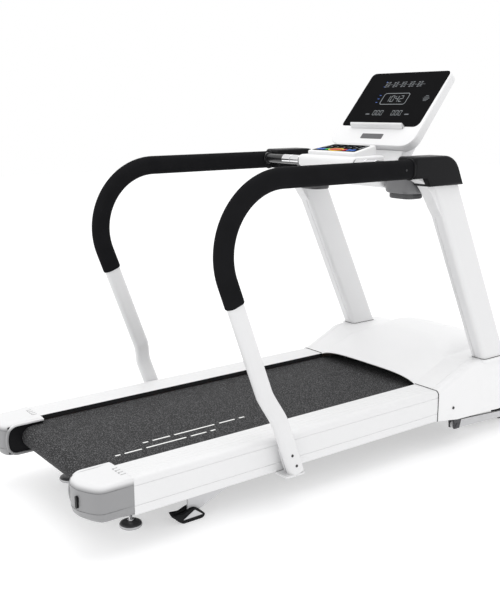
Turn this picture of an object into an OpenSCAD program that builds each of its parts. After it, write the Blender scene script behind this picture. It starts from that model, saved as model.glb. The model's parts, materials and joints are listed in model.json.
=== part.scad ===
// Rehabilitation treadmill with long curved handrails.
// X is across the machine, +Y points to the console, +Z is up, all in millimetres.
// The origin is the centre of the footprint, on the floor.

/* [Overall] */
// Length from the end caps to the nose of the hood
overall_len = 2120; // [2080:10:2160]
// Height of the foot rails' top above the floor
rail_top = 247; // [240:1:260]
// Half width of the opening between the foot rails
open_half = 280; // [270:1:290]
// Width of one foot rail
rail_w = 121; // [110:1:125]
// Height of one foot rail
rail_h = 119; // [110:1:119]
// Length of the foot rails between end cap and hood
rail_len = 1329; // [1300:1:1340]
// Length of the end caps
cap_len = 157; // [145:1:165]

/* [Belt and rollers] */
// Width of the running belt
belt_w = 554; // [540:1:556]
// Drop from the rail top to the running surface
belt_drop = 19; // [18:1:24]
// Thickness of the running belt
belt_t = 2; // [1.5:0.1:2.5]
// Radius of both rollers
roller_r = 38; // [34:1:40]
// Distance between the two roller axles
roller_span = 1560; // [1540:5:1580]
// Distance from the end caps' front edge back to the rear axle
rear_axle_back = 41; // [38:1:50]
// Radius of the fixed roller axles
axle_r = 10; // [8:0.5:12]
// Radial running clearance of a roller or a wheel on its axle
run_gap = 0.06; // [0.03:0.01:0.1]

/* [Handrails] */
// Distance from the middle to the centre line of a handrail
hand_x = 401; // [395:1:405]
// Height of the straight grip's centre line
hand_z = 1101.5; // [1090:0.5:1115]
// Radius of the big bend
hand_r = 231; // [220:1:240]
// Height of the handrail tube's flat oval section
tube_l = 61; // [56:1:64]
// Thickness of the handrail tube's section
tube_t = 38; // [34:1:40]
// Wall of the steel tubes
tube_wall = 2.5; // [2:0.1:3]
// Thickness of the moulded grip around the tube
grip_t = 4; // [3:0.5:5]
// Lean of the handrail legs from the vertical
leg_lean = 20; // [18:0.5:22]
// Sideways step of the leg above the foot rail
jog = 40; // [34:1:42]

/* [Masts] */
// Distance from the middle to a mast's centre plane
mast_x = 375.5; // [375:0.5:378]
// Front to back depth of the mast section
mast_l = 122; // [115:1:126]
// Thickness of the mast section
mast_t = 67; // [60:1:67]
// Lean of the masts towards the walker
mast_lean = 25; // [24:0.5:26]

/* [Console] */
// Tilt of the console face from the horizontal
face_tilt = 49.6; // [48:0.2:52]
// Half width of the console front plate
face_half = 228; // [224:1:236]
// Height of the display glass along the face
glass_h = 277; // [270:1:280]
// Half width of the display glass
glass_half = 212; // [205:1:214]
// Slope of the keypad
pod_tilt = 10.5; // [9:0.5:12]
// Travel of a key
key_travel = 1.2; // [0.8:0.1:1.5]

/* [Lift and feet] */
// Radius of the front transport wheels
wheel_r = 38; // [36:1:38]
// Width of a front wheel
wheel_w = 26; // [22:1:28]
// Radius of a levelling foot's disc
foot_r = 37; // [34:1:38]
// Height of a levelling foot's disc
foot_h = 16; // [14:1:18]

/* [Hidden] */
$fn = 48;

y_rear = -overall_len / 2;
y_front = overall_len / 2;
y_cap = y_rear + cap_len;
y_seam = y_cap + rail_len;
rail_out = open_half + rail_w;
rail_bottom = rail_top - rail_h;
belt_top = rail_top - belt_drop;
axle_z = belt_top - belt_t - roller_r;
rear_y = y_cap - rear_axle_back;
front_y = rear_y + roller_span;

// Longitudinal frame tubes
beam_in = 305;
beam_out = 341.5;
beam_mid = (beam_in + beam_out) / 2;
beam_low = 130;
beam_top = 185;
beam_rear = y_rear + 75;
beam_front = 1000;
frame_wall = 3;
cross_y = [-700, -300, 100, 480];
foot_x = 226;
foot_y = -825;
foot_bar_z = 120;

// Front body: end caps' inner face, split from hood to side covers, dome, round front corners, screw
cap_in = open_half - 36;
hood_half = 371;
dome_half = 322;
cover_out = 405;
nose_r = 160;
nose_y = y_front - nose_r * cos(10) - 0.05;
screw_y = y_seam + 89;
screw_z = 163;

// Masts
mast_r = 15;
mast_base_z = 330;
mast_base_y = 746;
mast_low = 150;
mast_high = 1096;
mast_bolt_z = [205, 255];

function mast_mid(z) = mast_base_y + (mast_base_z - z) * tan(mast_lean);

// Handrails
bend_y = y_cap + 563;
hand_end = 300;
leg_low = 127;
jog_top = 402;
jog_r = 60;
jog_a = 24;
grip_front = 225.6;
beam_y0 = 420;
beam_y1 = 458;
grip_tail = 75;
grip_screw_y = 186;
bar_y = 202;
bar_z = 1109.5;
bar_r = 18;

// Console
face_y = 462.4;
face_z = 1240;
face_low = -92;
face_high = 282;
shell_t = 42;
bezel_t = 8;

// Cup holders
cup_x = 260;
cup_y = 359;

// Keypad
pod_y = 221.4;
pod_z = 1151.4;
pod_len = 105.6;
key_row = 20;
key_x = [-96, -73, -49, 0, 49, 73, 96];

// Lift frame
lift_y = 599;
lift_z = 58.5;
lift_x = 340;
wheel_x = 300;
wheel_y = 935;
arm_t = 12;
lift_pin_r = 8;
wheel_axle_r = 6;
act_x = 60;
act_y = 760;
act_z = 75;
act_lean = 3.2;
act_len = 200;
act_top_y = act_y + act_len * sin(act_lean);
act_top_z = act_z + act_len * cos(act_lean);

// Rubber shoes under the struts
shoe_x = 300;
shoe_y = -643;
shoe_z = 28;
shoe_pin_r = 5;
strut_front = -380;

// Motor
motor_y = 795;
motor_z = 212;
motor_r = 62;
pulley_x = 293;
pulley_w = 14;

// ---- helper shapes --------------------------------------------------------

// Points of an arc about c, from angle a0 to a1
function arc(c, r, a0, a1, n = 8) =
    [for (i = [0:n]) let (a = a0 + (a1 - a0) * i / n) [c[0] + r * cos(a), c[1] + r * sin(a)]];

// Outline of a rectangle with round corners, centred
function rrect(w, h, r, n = 6) = concat(
    arc([w / 2 - r, h / 2 - r], r, 0, 90, n),
    arc([-w / 2 + r, h / 2 - r], r, 90, 180, n),
    arc([-w / 2 + r, -h / 2 + r], r, 180, 270, n),
    arc([w / 2 - r, -h / 2 + r], r, 270, 360, n));

// Flat oval, long side along Y
module oval(l, t) {
    polygon(concat(arc([0, (l - t) / 2], t / 2, 0, 180, 12), arc([0, (t - l) / 2], t / 2, 180, 360, 12)));
}

// Block between two corners
module block(a, b) {
    translate(a) cube([b[0] - a[0], b[1] - a[1], b[2] - a[2]]);
}

// Cylinder along X from x0 to x1
module rod_x(r, x0, x1, y, z, n = 48) {
    translate([x0, y, z]) rotate([0, 90, 0]) cylinder(r = r, h = x1 - x0, $fn = n);
}

// A YZ outline extruded along X from x0 to x1
module slab_x(pts, x0, x1) {
    translate([x0, 0, 0]) rotate([90, 0, 90]) linear_extrude(x1 - x0) polygon(pts);
}

// Hollow rectangular tube along X
module box_tube_x(x0, x1, y0, y1, z0, z1, wall) {
    difference() {
        block([x0, y0, z0], [x1, y1, z1]);
        block([x0 - 1, y0 + wall, z0 + wall], [x1 + 1, y1 - wall, z1 - wall]);
    }
}

module both_sides() {
    children();
    mirror([1, 0, 0]) children();
}

// ---- base frame -----------------------------------------------------------

module deck_frame() {
    color("dimgray") difference() {
        union() {
            both_sides() difference() {
                block([beam_in, beam_rear, beam_low], [beam_out, beam_front, beam_top]);
                block([beam_in + frame_wall, beam_rear - 1, beam_low + frame_wall],
                      [beam_out - frame_wall, beam_front + 1, beam_top - frame_wall]);
            }
            for (y = cross_y)
                box_tube_x(-beam_in, beam_in, y - 15, y + 15, beam_top - 31, beam_top - 1, frame_wall);
            block([-beam_out, foot_y - 35, foot_bar_z], [beam_out, foot_y + 35, beam_low]);
            both_sides() block([beam_mid - 12, beam_rear + 4, beam_top],
                               [beam_mid + 12, beam_rear + 10, axle_z + 12]);
        }
        both_sides() {
            translate([beam_mid, beam_rear, axle_z + 3]) rotate([-90, 0, 0]) cylinder(r = 4.3, h = 20);
            rod_x(axle_r + 0.2, beam_in - 1, beam_out + 1, rear_y, axle_z);
            rod_x(axle_r + 0.2, beam_in - 1, beam_out + 1, front_y, axle_z);
            translate([foot_x, foot_y, foot_bar_z - 1]) cylinder(r = 6.06, h = 12);
        }
    }
}

// Lugs, mast plates, motor shelf and the cross members under the hood
module front_frame() {
    color("dimgray") difference() {
        union() {
            both_sides() {
                slab_x([[640, beam_top + 0.2], [900, beam_top + 0.2], [820, 290], [690, 290]],
                       beam_out - 8, beam_out);
                slab_x([[lift_y - 22, 129.8], [lift_y + 40, 129.8], [lift_y + 14, lift_z - 14],
                        [lift_y - 14, lift_z - 14]], lift_x - 16, lift_x - 8);
                slab_x([[lift_y - 22, 129.8], [lift_y + 40, 129.8], [lift_y + 14, lift_z - 14],
                        [lift_y - 14, lift_z - 14]], lift_x + 8, lift_x + 16);
                block([lift_x - 16, lift_y - 22, 122], [lift_x + 16, lift_y + 40, 129.8]);
                rod_x(lift_pin_r, lift_x - 18, lift_x + 18, lift_y, lift_z);
            }
            box_tube_x(-beam_in, beam_in, 690, 730, 126, 154, frame_wall);
            box_tube_x(-beam_in, beam_in, 950, 990, 126, 154, frame_wall);
            block([-262, 730, 126], [20, 950, 132]);
            for (x = [-210, -60]) block([x - 8, motor_y - 30, 132], [x + 8, motor_y + 30, 140]);
            for (x = [act_x - 40, act_x + 34])
                slab_x([[act_top_y - 31, 132], [act_top_y + 31, 132], [act_top_y + 16, act_top_z + 16],
                        [act_top_y - 16, act_top_z + 16]], x, x + 6);
            block([act_x - 40, 730, 126], [act_x + 40, 950, 132]);
        }
        translate([act_x - 30, 738, 120]) cube([60, 84, 20]);
        rod_x(6.2, act_x - 50, act_x + 50, act_top_y, act_top_z);
        both_sides() for (z = mast_bolt_z) rod_x(5.2, beam_out - 10, beam_out + 5, mast_mid(z), z);
    }
}

module deck_board() {
    color("sienna") difference() {
        block([-336, y_cap + 16, 200], [336, front_y - 52, belt_top - belt_t - 0.4]);
        for (y = cross_y, s = [-1, 1]) translate([s * 322, y + 60, 199]) cylinder(r = 4, h = 40);
    }
}

module deck_cushions() {
    color("black") for (y = cross_y, s = [-1, 1]) difference() {
        translate([s * 322, y + 60, beam_top]) cylinder(r = 16, h = 15);
        translate([s * 322, y + 60, beam_top - 1]) cylinder(r = 4, h = 17);
    }
}

// Closed belt loop round both rollers
module loop_2d(r0, r1, span) {
    circle(r = r0);
    translate([span, 0]) circle(r = r1);
}

module running_belt() {
    color("darkslategray") translate([-belt_w / 2, rear_y, axle_z]) rotate([90, 0, 90])
        linear_extrude(belt_w) difference() {
            belt_outline(roller_r + belt_t);
            belt_outline(roller_r + 0.3);
        }
}

module belt_outline(r) {
    loop_2d(r, r, roller_span, $fn = 72);
    translate([0, -r]) square([roller_span, 2 * r]);
}

// ---- foot rails and end caps ----------------------------------------------

// Aluminium section: top plate with fine ribs, outer wall with two grooves, bottom flange
function rail_outline(w, h) = concat(
    [[0, 0], [0, -17], [3, -17], [3, -4]],
    [[w - 20, -4]],
    arc([w - 20, -20], 16, 90, 0, 6),
    [[w - 4, -h + 4], [w - 56, -h + 4], [w - 56, -h], [w, -h],
     [w, -91.5], [w - 1.5, -90.5], [w, -89.5], [w, -27.5], [w - 1.5, -26.5], [w, -25.5]],
    arc([w - 16, -16], 16, 0, 90, 8),
    [for (i = [0:3], j = [0:2]) [w - 30 - i * 20 - j * 1.5, j == 1 ? -1 : 0]]);

module rail_right() {
    color("white") rail();
}

module rail_left() {
    color("white") mirror([1, 0, 0]) rail();
}

module rail() {
    translate([open_half, y_seam, rail_top]) rotate([90, 0, 0])
        linear_extrude(rail_len) polygon(rail_outline(rail_w, rail_h));
}

// Rear end cap: round at the back and at the top, open towards the rail and the roller
function cap_side(o) = concat(
    [[y_cap, rail_bottom + o], [y_cap, rail_top - o]],
    arc([y_rear + 48, rail_top - 46], 46 - o, 90, 165, 8),
    [[y_rear + o, 192]],
    arc([y_rear + 52, rail_bottom + 50], 50 - o, 185, 240, 4),
    [[y_rear + 42, rail_bottom + o]]);

function cap_plan(o) = concat(
    [[cap_in + o, y_cap + 1], [cap_in + o, y_rear + 22]],
    arc([cap_in + 40, y_rear + 96], 96 - o, 247, 278, 5),
    [[rail_out - 22, y_rear + 24 + o], [rail_out - o, y_rear + 54], [rail_out - o, y_cap + 1]]);

module cap_solid(o) {
    intersection() {
        slab_x(cap_side(o), cap_in - 5, rail_out + 5);
        translate([0, 0, 100]) linear_extrude(200) polygon(cap_plan(o));
        translate([0, y_cap + 1, 0]) rotate([90, 0, 0]) linear_extrude(300) polygon(concat(
            [[cap_in, rail_bottom], [cap_in, rail_top - o]],
            arc([rail_out - 16, rail_top - 16], 16 - o, 90, 0, 6),
            [[rail_out - o, rail_bottom]]));
    }
}

module end_cap() {
    difference() {
        cap_solid(0);
        difference() {
            cap_solid(3.5);
            block([cap_in + 10, y_rear, rail_bottom], [cap_in + 14, y_rear + 34, rail_top]);
        }
        block([cap_in - 1, y_rear + 36, rail_bottom - 1], [rail_out - 6, y_cap + 2, rail_top - 15]);
        translate([rail_out - 88, y_rear + 40, 186]) rotate([90, 0, 0]) linear_extrude(60) oval(30, 8);
        for (z = [rail_top - 27.5, rail_top - 91.5])
            block([rail_out - 1.2, y_rear + 54, z], [rail_out + 1, y_cap + 1, z + 2]);
    }
}

module end_cap_right() {
    color("darkgray") end_cap();
}

module end_cap_left() {
    color("darkgray") mirror([1, 0, 0]) end_cap();
}

// ---- hood and covers ------------------------------------------------------

// Side view of the wings beside the dome
function wing_side(o) = concat(
    [[y_seam, rail_bottom - 1 + o], [y_seam, rail_top - o], [664, 322 - o], [860, 330 - o]],
    arc([y_front - 190, 140], 190 - o, 90, 10, 8),
    [[y_front - o, 116 + o], [y_seam + 355, 102 + o], [y_seam + 110, 108 + o]]);

// Side view of the dome in the middle
function dome_side(o) = concat(
    [[y_seam + 5, 160], [y_seam + 5, 272 - o], [620, 340 - o], [700, 372 - o], [797, 385 - o]],
    arc([y_front - 255, 130], 255 - o, 88, 5, 8),
    [[y_front - o, 118]]);

// Plan view of the whole front body
function body_plan(o) = concat(
    [[-rail_out + o, y_seam - 1], [-cover_out + o, y_seam + 214], [-cover_out + o, nose_y]],
    arc([-cover_out + nose_r, nose_y], nose_r - o, 180, 100, 8),
    arc([cover_out - nose_r, nose_y], nose_r - o, 80, 0, 8),
    [[cover_out - o, y_seam + 214], [rail_out - o, y_seam - 1]]);

module wing_body(o, x0, x1) {
    intersection() {
        slab_x(wing_side(o), x0, x1);
        translate([0, 0, 50]) linear_extrude(400) polygon(body_plan(o));
    }
}

module dome_body(o) {
    intersection() {
        slab_x(dome_side(o), -dome_half, dome_half);
        translate([0, y_front + 1, 0]) rotate([90, 0, 0]) linear_extrude(700) polygon(concat(
            [[dome_half - o, 0], [dome_half - o, 250], [dome_half - 60, 350 - o]],
            [for (i = [-4:4]) [-50 * i, 385 - 1.6 * i * i - o]],
            [[60 - dome_half, 350 - o], [o - dome_half, 250], [o - dome_half, 0]]));
        translate([0, 0, 50]) linear_extrude(400) polygon(body_plan(o));
    }
}

module mast_hole() {
    both_sides() mast_solid(1.5, 0);
}

module hood() {
    color("white") difference() {
        union() {
            difference() {
                wing_body(0, -hood_half, hood_half);
                wing_body(3, -hood_half - 1, hood_half + 1);
            }
            difference() {
                dome_body(0);
                wing_body(3, -hood_half, hood_half);
            }
        }
        dome_body(3);
        block([-500, y_seam - 2, 0], [500, y_front + 1, 118]);
        block([-hood_half - 1, y_seam + 3, 100], [hood_half + 1, y_front - 12, 136]);
        block([-open_half + 1, y_seam - 5, 100], [open_half - 1, y_seam + 30, rail_top + 1]);
        block([-hood_half - 1, y_seam - 5, 100], [hood_half + 1, y_seam + 12, rail_top - 12]);
        block([-262, y_front - 30, 138], [-138, y_front + 5, 182]);
        mast_hole();
    }
}

module side_cover() {
    difference() {
        wing_body(0, hood_half + 0.6, cover_out + 5);
        wing_body(3, hood_half - 5, cover_out + 6);
        mast_solid(1.5, 0);
        rod_x(3, cover_out - 20, cover_out + 20, screw_y, screw_z);
    }
}

module side_cover_right() {
    color("white") side_cover();
}

module side_cover_left() {
    color("white") mirror([1, 0, 0]) side_cover();
}

module belly_pan() {
    color("dimgray") difference() {
        block([-368, 660, 108], [368, 1010, 111]);
        block([-262, 690, 100], [-100, 900, 120]);
        block([act_x - 45, 730, 100], [act_x + 45, 950, 120]);
        both_sides() mast_solid(2, 0);
    }
}

// ---- masts and their caps -------------------------------------------------

// Mast outline grown by o and with a bore wall w (0 for a solid one)
module mast_solid(o, w) {
    h = (mast_high - mast_low) / cos(mast_lean) + 80;
    intersection() {
        translate([mast_x, mast_base_y, mast_base_z]) rotate([mast_lean, 0, 0])
            translate([0, 0, (mast_low - mast_base_z) / cos(mast_lean) - 40])
                linear_extrude(h) difference() {
                    polygon(rrect(mast_t + 2 * o, mast_l + 2 * o, mast_r + o));
                    if (w > 0) polygon(rrect(mast_t - 2 * w, mast_l - 2 * w, mast_r - w));
                    if (w > 0) translate([-mast_t / 2 + 22, -mast_l / 2]) square([2, 2.4], center = true);
                }
        block([0, 0, mast_low - 2 * o], [600, 1100, mast_high + 4 * o]);
    }
}

// Concave web under the handrail, welded to the mast
module gusset() {
    slab_x(concat([[252, 1065.5], [350, 1065.5], [372, 1003]],
                  arc([237, 915.6], 150, 34, 84, 10)), 352, 399);
}

module mast() {
    difference() {
        union() {
            mast_solid(0, 3);
            difference() {
                union() {
                    gusset();
                    block([hand_x - 13, 252, hand_z - 20], [hand_x + 7, 400, hand_z - 6]);
                }
                mast_solid(-0.5, 0);
            }
        }
        for (z = mast_bolt_z) rod_x(5.2, 330, 360, mast_mid(z), z);
    }
}

module mast_right() {
    color("white") mast();
}

module mast_left() {
    color("white") mirror([1, 0, 0]) mast();
}

// Black elbow over the mast top, open to the handrail behind and to the mast below
module mast_cap() {
    difference() {
        slab_x(concat([[226, 1066]], arc([238, 1132.5], 12, 180, 90, 4),
                      arc([383, 1060.5], 84, 90, 25, 8),
                      [[485.3, 1040], [311, 1040], [292, 1066]]), 337, 429);
        slab_x(concat([[229, 1070.4]], arc([240, 1130.5], 11, 180, 90, 4),
                      arc([383, 1060.5], 81, 90, 25, 8),
                      [[486.6, 1030], [290, 1030], [290, 1070.4]]), 340, 426);
        translate([hand_x, 220, hand_z]) rotate([-90, 0, 0]) linear_extrude(12)
            oval(tube_l + 0.6, tube_t + 0.6);
        block([336, beam_y0 - 0.5, 1029], [342.3, beam_y1 + 0.5, 1084.5]);
        mast_solid(0.3, 0);
    }
}

module mast_cap_right() {
    color("black") mast_cap();
}

module mast_cap_left() {
    color("black") mirror([1, 0, 0]) mast_cap();
}

// ---- handrails ------------------------------------------------------------

// Handrail path swept with a flat oval: straight, big bend, leg, side step, lower leg
leg_top_y = bend_y - hand_r * cos(leg_lean);
leg_top_z = hand_z - hand_r - hand_r * sin(leg_lean);
upper_leg = (leg_top_z - jog_top) / cos(leg_lean) - jog_r * tan(jog_a / 2);
step_len = (jog - 2 * jog_r * (1 - cos(jog_a))) / sin(jog_a);
lower_leg = 300;

// Wall of a flat oval tube: outer size l by t, wall w
module oval_ring(l, t, w) {
    difference() {
        oval(l, t);
        oval(l - 2 * w, t - 2 * w);
    }
}

module sweep_top(l, t, w, y_end, tail) {
    translate([hand_x, bend_y, hand_z]) rotate([-90, 0, 0])
        linear_extrude(y_end - bend_y) oval_ring(l, t, w);
    translate([hand_x, bend_y, hand_z - hand_r]) rotate([0, -90, 180])
        rotate_extrude(angle = 90 + leg_lean, $fn = 96)
            translate([hand_r, 0]) rotate(90) oval_ring(l, t, w);
    translate([hand_x, leg_top_y, leg_top_z]) rotate([180 + leg_lean, 0, 0])
        linear_extrude(tail) oval_ring(l, t, w);
}

// From the end of the upper leg, in the leg's own frame: the side step and the lower leg
module sweep_step(l, t, w) {
    translate([hand_x, leg_top_y, leg_top_z]) rotate([180 + leg_lean, 0, 0])
        translate([0, 0, upper_leg]) {
            bend_out(l, t, w, 1);
            translate([jog_r * (1 - cos(jog_a)), 0, jog_r * sin(jog_a)]) rotate([0, jog_a, 0]) {
                linear_extrude(step_len) oval_ring(l, t, w);
                translate([0, 0, step_len]) {
                    bend_out(l, t, w, -1);
                    translate([-jog_r * (1 - cos(jog_a)), 0, jog_r * sin(jog_a)])
                        rotate([0, -jog_a, 0]) linear_extrude(lower_leg) oval_ring(l, t, w);
                }
            }
        }
}

// Bend in the XZ plane of the leg's frame, towards +X (s = 1) or -X (s = -1)
module bend_out(l, t, w, s) {
    translate([s * jog_r, 0, 0]) mirror([s > 0 ? 1 : 0, 0, 0]) rotate([90, 0, 0])
        rotate_extrude(angle = jog_a, $fn = 72) translate([jog_r, 0]) oval_ring(l, t, w);
}

module handrail() {
    sweep_top(tube_l, tube_t, tube_wall, hand_end, upper_leg);
    difference() {
        sweep_step(tube_l, tube_t, tube_wall);
        block([380, -600, -300], [520, 200, leg_low]);
        for (z = [197, 157]) rod_x(4.2, 415, 470, bolt_y(z), z);
    }
}

function bolt_y(z) = leg_top_y + (leg_top_z - z) * tan(leg_lean);

module handrail_right() {
    color("white") handrail();
}

module handrail_left() {
    color("white") mirror([1, 0, 0]) handrail();
}

module grip() {
    difference() {
        sweep_top(tube_l + 2 * grip_t, tube_t + 2 * grip_t, grip_t - 0.3, grip_front, grip_tail);
        rod_x(bar_r + 0.3, hand_x - 40, hand_x - 10, bar_y, bar_z);
        rod_x(3.2, hand_x + tube_t / 2 - 1, hand_x + 40, grip_screw_y, hand_z);
    }
}

module grip_right() {
    color("black") grip();
}

module grip_left() {
    color("black") mirror([1, 0, 0]) grip();
}

// Angle plates that carry the handrail legs on the foot rails
module handrail_feet() {
    color("white") both_sides() difference() {
        union() {
            block([330, bolt_y(120) - 42, 121], [466, bolt_y(120) + 50, leg_low - 0.5]);
            slab_x([[bolt_y(127) - 30, 124], [bolt_y(127) + 34, 124], [bolt_y(215) + 26, 215],
                    [bolt_y(215) - 26, 215]], 415, hand_x + jog - tube_t / 2 - 0.3);
        }
        for (z = [197, 157]) rod_x(4.2, 410, 425, bolt_y(z), z);
        for (y = [-28, 34]) translate([352, bolt_y(120) + y, 118]) cylinder(r = 4.2, h = 12);
    }
}

// ---- crossbar, beam, tray and cup holders ---------------------------------

module crossbar() {
    end = hand_x - tube_t / 2 - 0.4;
    color("black") difference() {
        union() {
            rod_x(bar_r, -end, end, bar_y, bar_z);
            both_sides() rod_x(23.5, hand_x - tube_t / 2 - grip_t - 8, hand_x - tube_t / 2 - grip_t - 0.3,
                               bar_y, bar_z);
        }
        rod_x(bar_r - tube_wall, -end - 1, end + 1, bar_y, bar_z);
    }
}

// Stainless half shells for the pulse reading
module pulse_plates() {
    color("silver") both_sides() for (x = [162, 214]) intersection() {
        difference() {
            rod_x(bar_r + 1.4, x, x + 50, bar_y, bar_z);
            rod_x(bar_r + 0.2, x - 1, x + 51, bar_y, bar_z);
        }
        block([x - 1, bar_y - 25, bar_z - 8], [x + 51, bar_y + 25, bar_z + 25]);
    }
}

module cross_beam() {
    color("dimgray") {
        box_tube_x(-mast_x + mast_t / 2, mast_x - mast_t / 2, beam_y0, beam_y1, 1030, 1084, frame_wall);
        for (x = [-90, 84]) slab_x([[424, 1084], [454, 1084], [487, 1192], [464, 1172]], x, x + 6);
    }
}

// White tray between the cup holders, with the neck that carries the console
module console_tray() {
    color("white") {
        difference() {
            slab_x(concat([[276, 1086], [276, 1074]], arc([316, 1052], 40, 160, 250, 5),
                          [[345, 1012], [420, 1012]], arc([440, 1042], 30, 290, 350, 3),
                          [[472, 1086]]), -184, 184);
            slab_x([[280, 1082], [280, 1074], [318, 1022], [346, 1016],
                    [420, 1016], [462, 1044], [468, 1082]], -180, 180);
            block([-190, beam_y0 - 0.5, 1029.5], [190, beam_y1 + 0.5, 1084.5]);
            block([-100, beam_y0, 1080], [100, beam_y1, 1090]);
        }
        neck();
    }
}

module neck() {
    difference() {
        neck_solid(concat([[352, 1085.9]], arc([330, 1175], 91.8, 284, 344, 6),
                          [[444, 1151.5], [446.5, 1155], [488, 1204], [506, 1190], [466, 1085.9]]), 0);
        neck_solid(concat([[358, 1080]], arc([331, 1172], 92, 287, 345, 6),
                          [[440, 1154.5], [446.5, 1161], [486, 1208], [502, 1189], [462, 1080]]), 3);
    }
}

module neck_solid(pts, o) {
    intersection() {
        slab_x(pts, -200, 200);
        translate([0, 600, 0]) rotate([90, 0, 0]) linear_extrude(300)
            polygon([[o - 150, 1070], [150 - o, 1070], [190 - o, 1160],
                     [190 - o, 1230], [o - 190, 1230], [o - 190, 1160]]);
    }
}

module cup_holders() {
    color("gray") both_sides() translate([cup_x, cup_y, 0]) difference() {
        union() {
            translate([0, 0, 1003]) linear_extrude(83) polygon(rrect(150, 118, 45));
            translate([0, 0, 982]) linear_extrude(21.01) polygon(rrect(118, 92, 34));
        }
        translate([0, 0, 986]) cylinder(r = 42, h = 110);
        translate([0, 0, 1064]) linear_extrude(30) polygon(rrect(142, 110, 41));
    }
}

// ---- control pod ----------------------------------------------------------

module pod_frame() {
    translate([0, pod_y, pod_z]) rotate([pod_tilt, 0, 0]) children();
}

// Housing round the crossbar with the keypad wedge on top
module pod_housing() {
    color("white") difference() {
        union() {
            intersection() {
                slab_x(concat(arc([bar_y, bar_z], 22.5, 270, 90, 10),
                              [[330, 1133.5], [348, 1126], [348, 1092], [330, 1087]]), -158, 158);
                translate([0, 266, 1000]) linear_extrude(200) polygon(rrect(316, 180, 24));
            }
            intersection() {
                slab_x([[pod_y - 12, 1120], [pod_y - 12, 1146], [pod_y - 6, 1150.3],
                        [pod_y + 112, 1172.1], [pod_y + 124, 1168], [pod_y + 126, 1120]], -150, 150);
                translate([0, 0, 1110]) linear_extrude(90) polygon([[-138, pod_y - 12], [138, pod_y - 12],
                    [116, pod_y + 126], [-116, pod_y + 126]]);
            }
        }
        slab_x(concat(arc([bar_y, bar_z], 20, 270, 90, 8), [[330, 1130.5], [344, 1124], [344, 1094],
               [330, 1090]]), -155, 155);
        slab_x([[pod_y - 8, 1119], [pod_y - 8, 1140], [pod_y + 120, 1160], [pod_y + 122, 1119]], -108, 108);
        rod_x(bar_r + 0.4, -170, 170, bar_y, bar_z);
        pod_frame() translate([0, 0, -2]) linear_extrude(10) polygon([[-122.4, -0.4], [122.4, -0.4],
            [103.4, pod_len + 0.4], [-103.4, pod_len + 0.4]]);
        pod_frame() block([-112, key_row - 17, -5], [112, key_row + 17, 1]);
    }
}

// Key outline in the keypad's plane
module key_2d(i) {
    if (i == 3) scale_oval(33, 15);
    else polygon(rrect(19, 21, 5));
}

module scale_oval(a, b) {
    polygon([for (k = [0:35]) [a * cos(10 * k), b * sin(10 * k)]]);
}

module keypad() {
    color("black") pod_frame() difference() {
        union() {
            translate([0, 0, -1.8]) linear_extrude(2.3) polygon([[-122, 0], [122, 0], [103, pod_len],
                [-103, pod_len]]);
            translate([0, key_row, 0.5]) linear_extrude(1.2) difference() {
                scale_oval(40, 19.5);
                scale_oval(34, 16);
            }
        }
        for (i = [0:6]) translate([key_x[i], key_row, -3]) linear_extrude(8) {
            if (i == 3) scale_oval(33.5, 15.5);
            else polygon(rrect(20, 22, 5.5));
        }
    }
}

module key(i) {
    pod_frame() translate([key_x[i], key_row, -1.7]) linear_extrude(2.2 + key_travel) key_2d(i);
}

module key_incline_down() { color("royalblue") key(0); }
module key_incline_up() { color("royalblue") key(1); }
module key_start() { color("limegreen") key(2); }
module key_stop() { color("red") key(3); }
module key_pause() { color("crimson") key(4); }
module key_speed_down() { color("royalblue") key(5); }
module key_speed_up() { color("royalblue") key(6); }

// ---- console --------------------------------------------------------------

module face_frame() {
    translate([0, face_y, face_z]) rotate([face_tilt, 0, 0]) children();
}

module face_plate(half, low, high, r) {
    translate([0, (low + high) / 2]) polygon(rrect(2 * half, high - low, r, 8));
}

module console_bezel() {
    color("white") face_frame() difference() {
        translate([0, 0, -bezel_t]) linear_extrude(bezel_t) face_plate(face_half, face_low, face_high, 36);
        translate([0, 0, -3]) linear_extrude(10) face_plate(glass_half + 0.3, -0.3, glass_h + 0.3, 20);
        translate([0, 0, -bezel_t - 1]) linear_extrude(20) face_plate(glass_half - 8, 8, glass_h - 8, 16);
    }
}

module display() {
    face_frame() {
        color("black") translate([0, 0, -2.8]) linear_extrude(3) face_plate(glass_half, 0, glass_h, 20);
        color("darkgreen") translate([0, 0, -16]) linear_extrude(1.6) face_plate(190, 20, 260, 6);
        color("silver") for (x = [-170, 170], y = [40, 240])
            translate([x, y, -14.4]) cylinder(r = 4, h = 6.3);
    }
}

module console_shell() {
    color("gainsboro") face_frame() difference() {
        union() {
            translate([0, 0, -28]) linear_extrude(28 - bezel_t - 0.2)
                face_plate(face_half, face_low, face_high, 36);
            translate([0, 0, -shell_t]) linear_extrude(shell_t - 28)
                face_plate(face_half - 14, face_low + 12, face_high - 16, 40);
        }
        translate([0, 0, -25]) linear_extrude(30)
            face_plate(face_half - 3, face_low + 3, face_high - 3, 33);
        translate([0, 0, -shell_t + 3]) linear_extrude(30)
            face_plate(face_half - 17, face_low + 15, face_high - 19, 37);
        translate([-100, face_low + 8, -shell_t - 1]) cube([200, 34, 12]);
    }
}

// Ledge for a book or a tablet
module reading_shelf() {
    color("whitesmoke") {
        face_frame() translate([-143, 0, 0]) rotate([90, 0, 90]) linear_extrude(286)
            polygon([[4, 0.2], [3, 20], [1, 22], [-3, 21], [-9, 11], [-12, 0.2]]);
        face_frame() translate([-58, -61, 0.2]) cube([116, 23, 1.4]);
    }
}

// ---- rollers, drive and electrics -----------------------------------------

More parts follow.
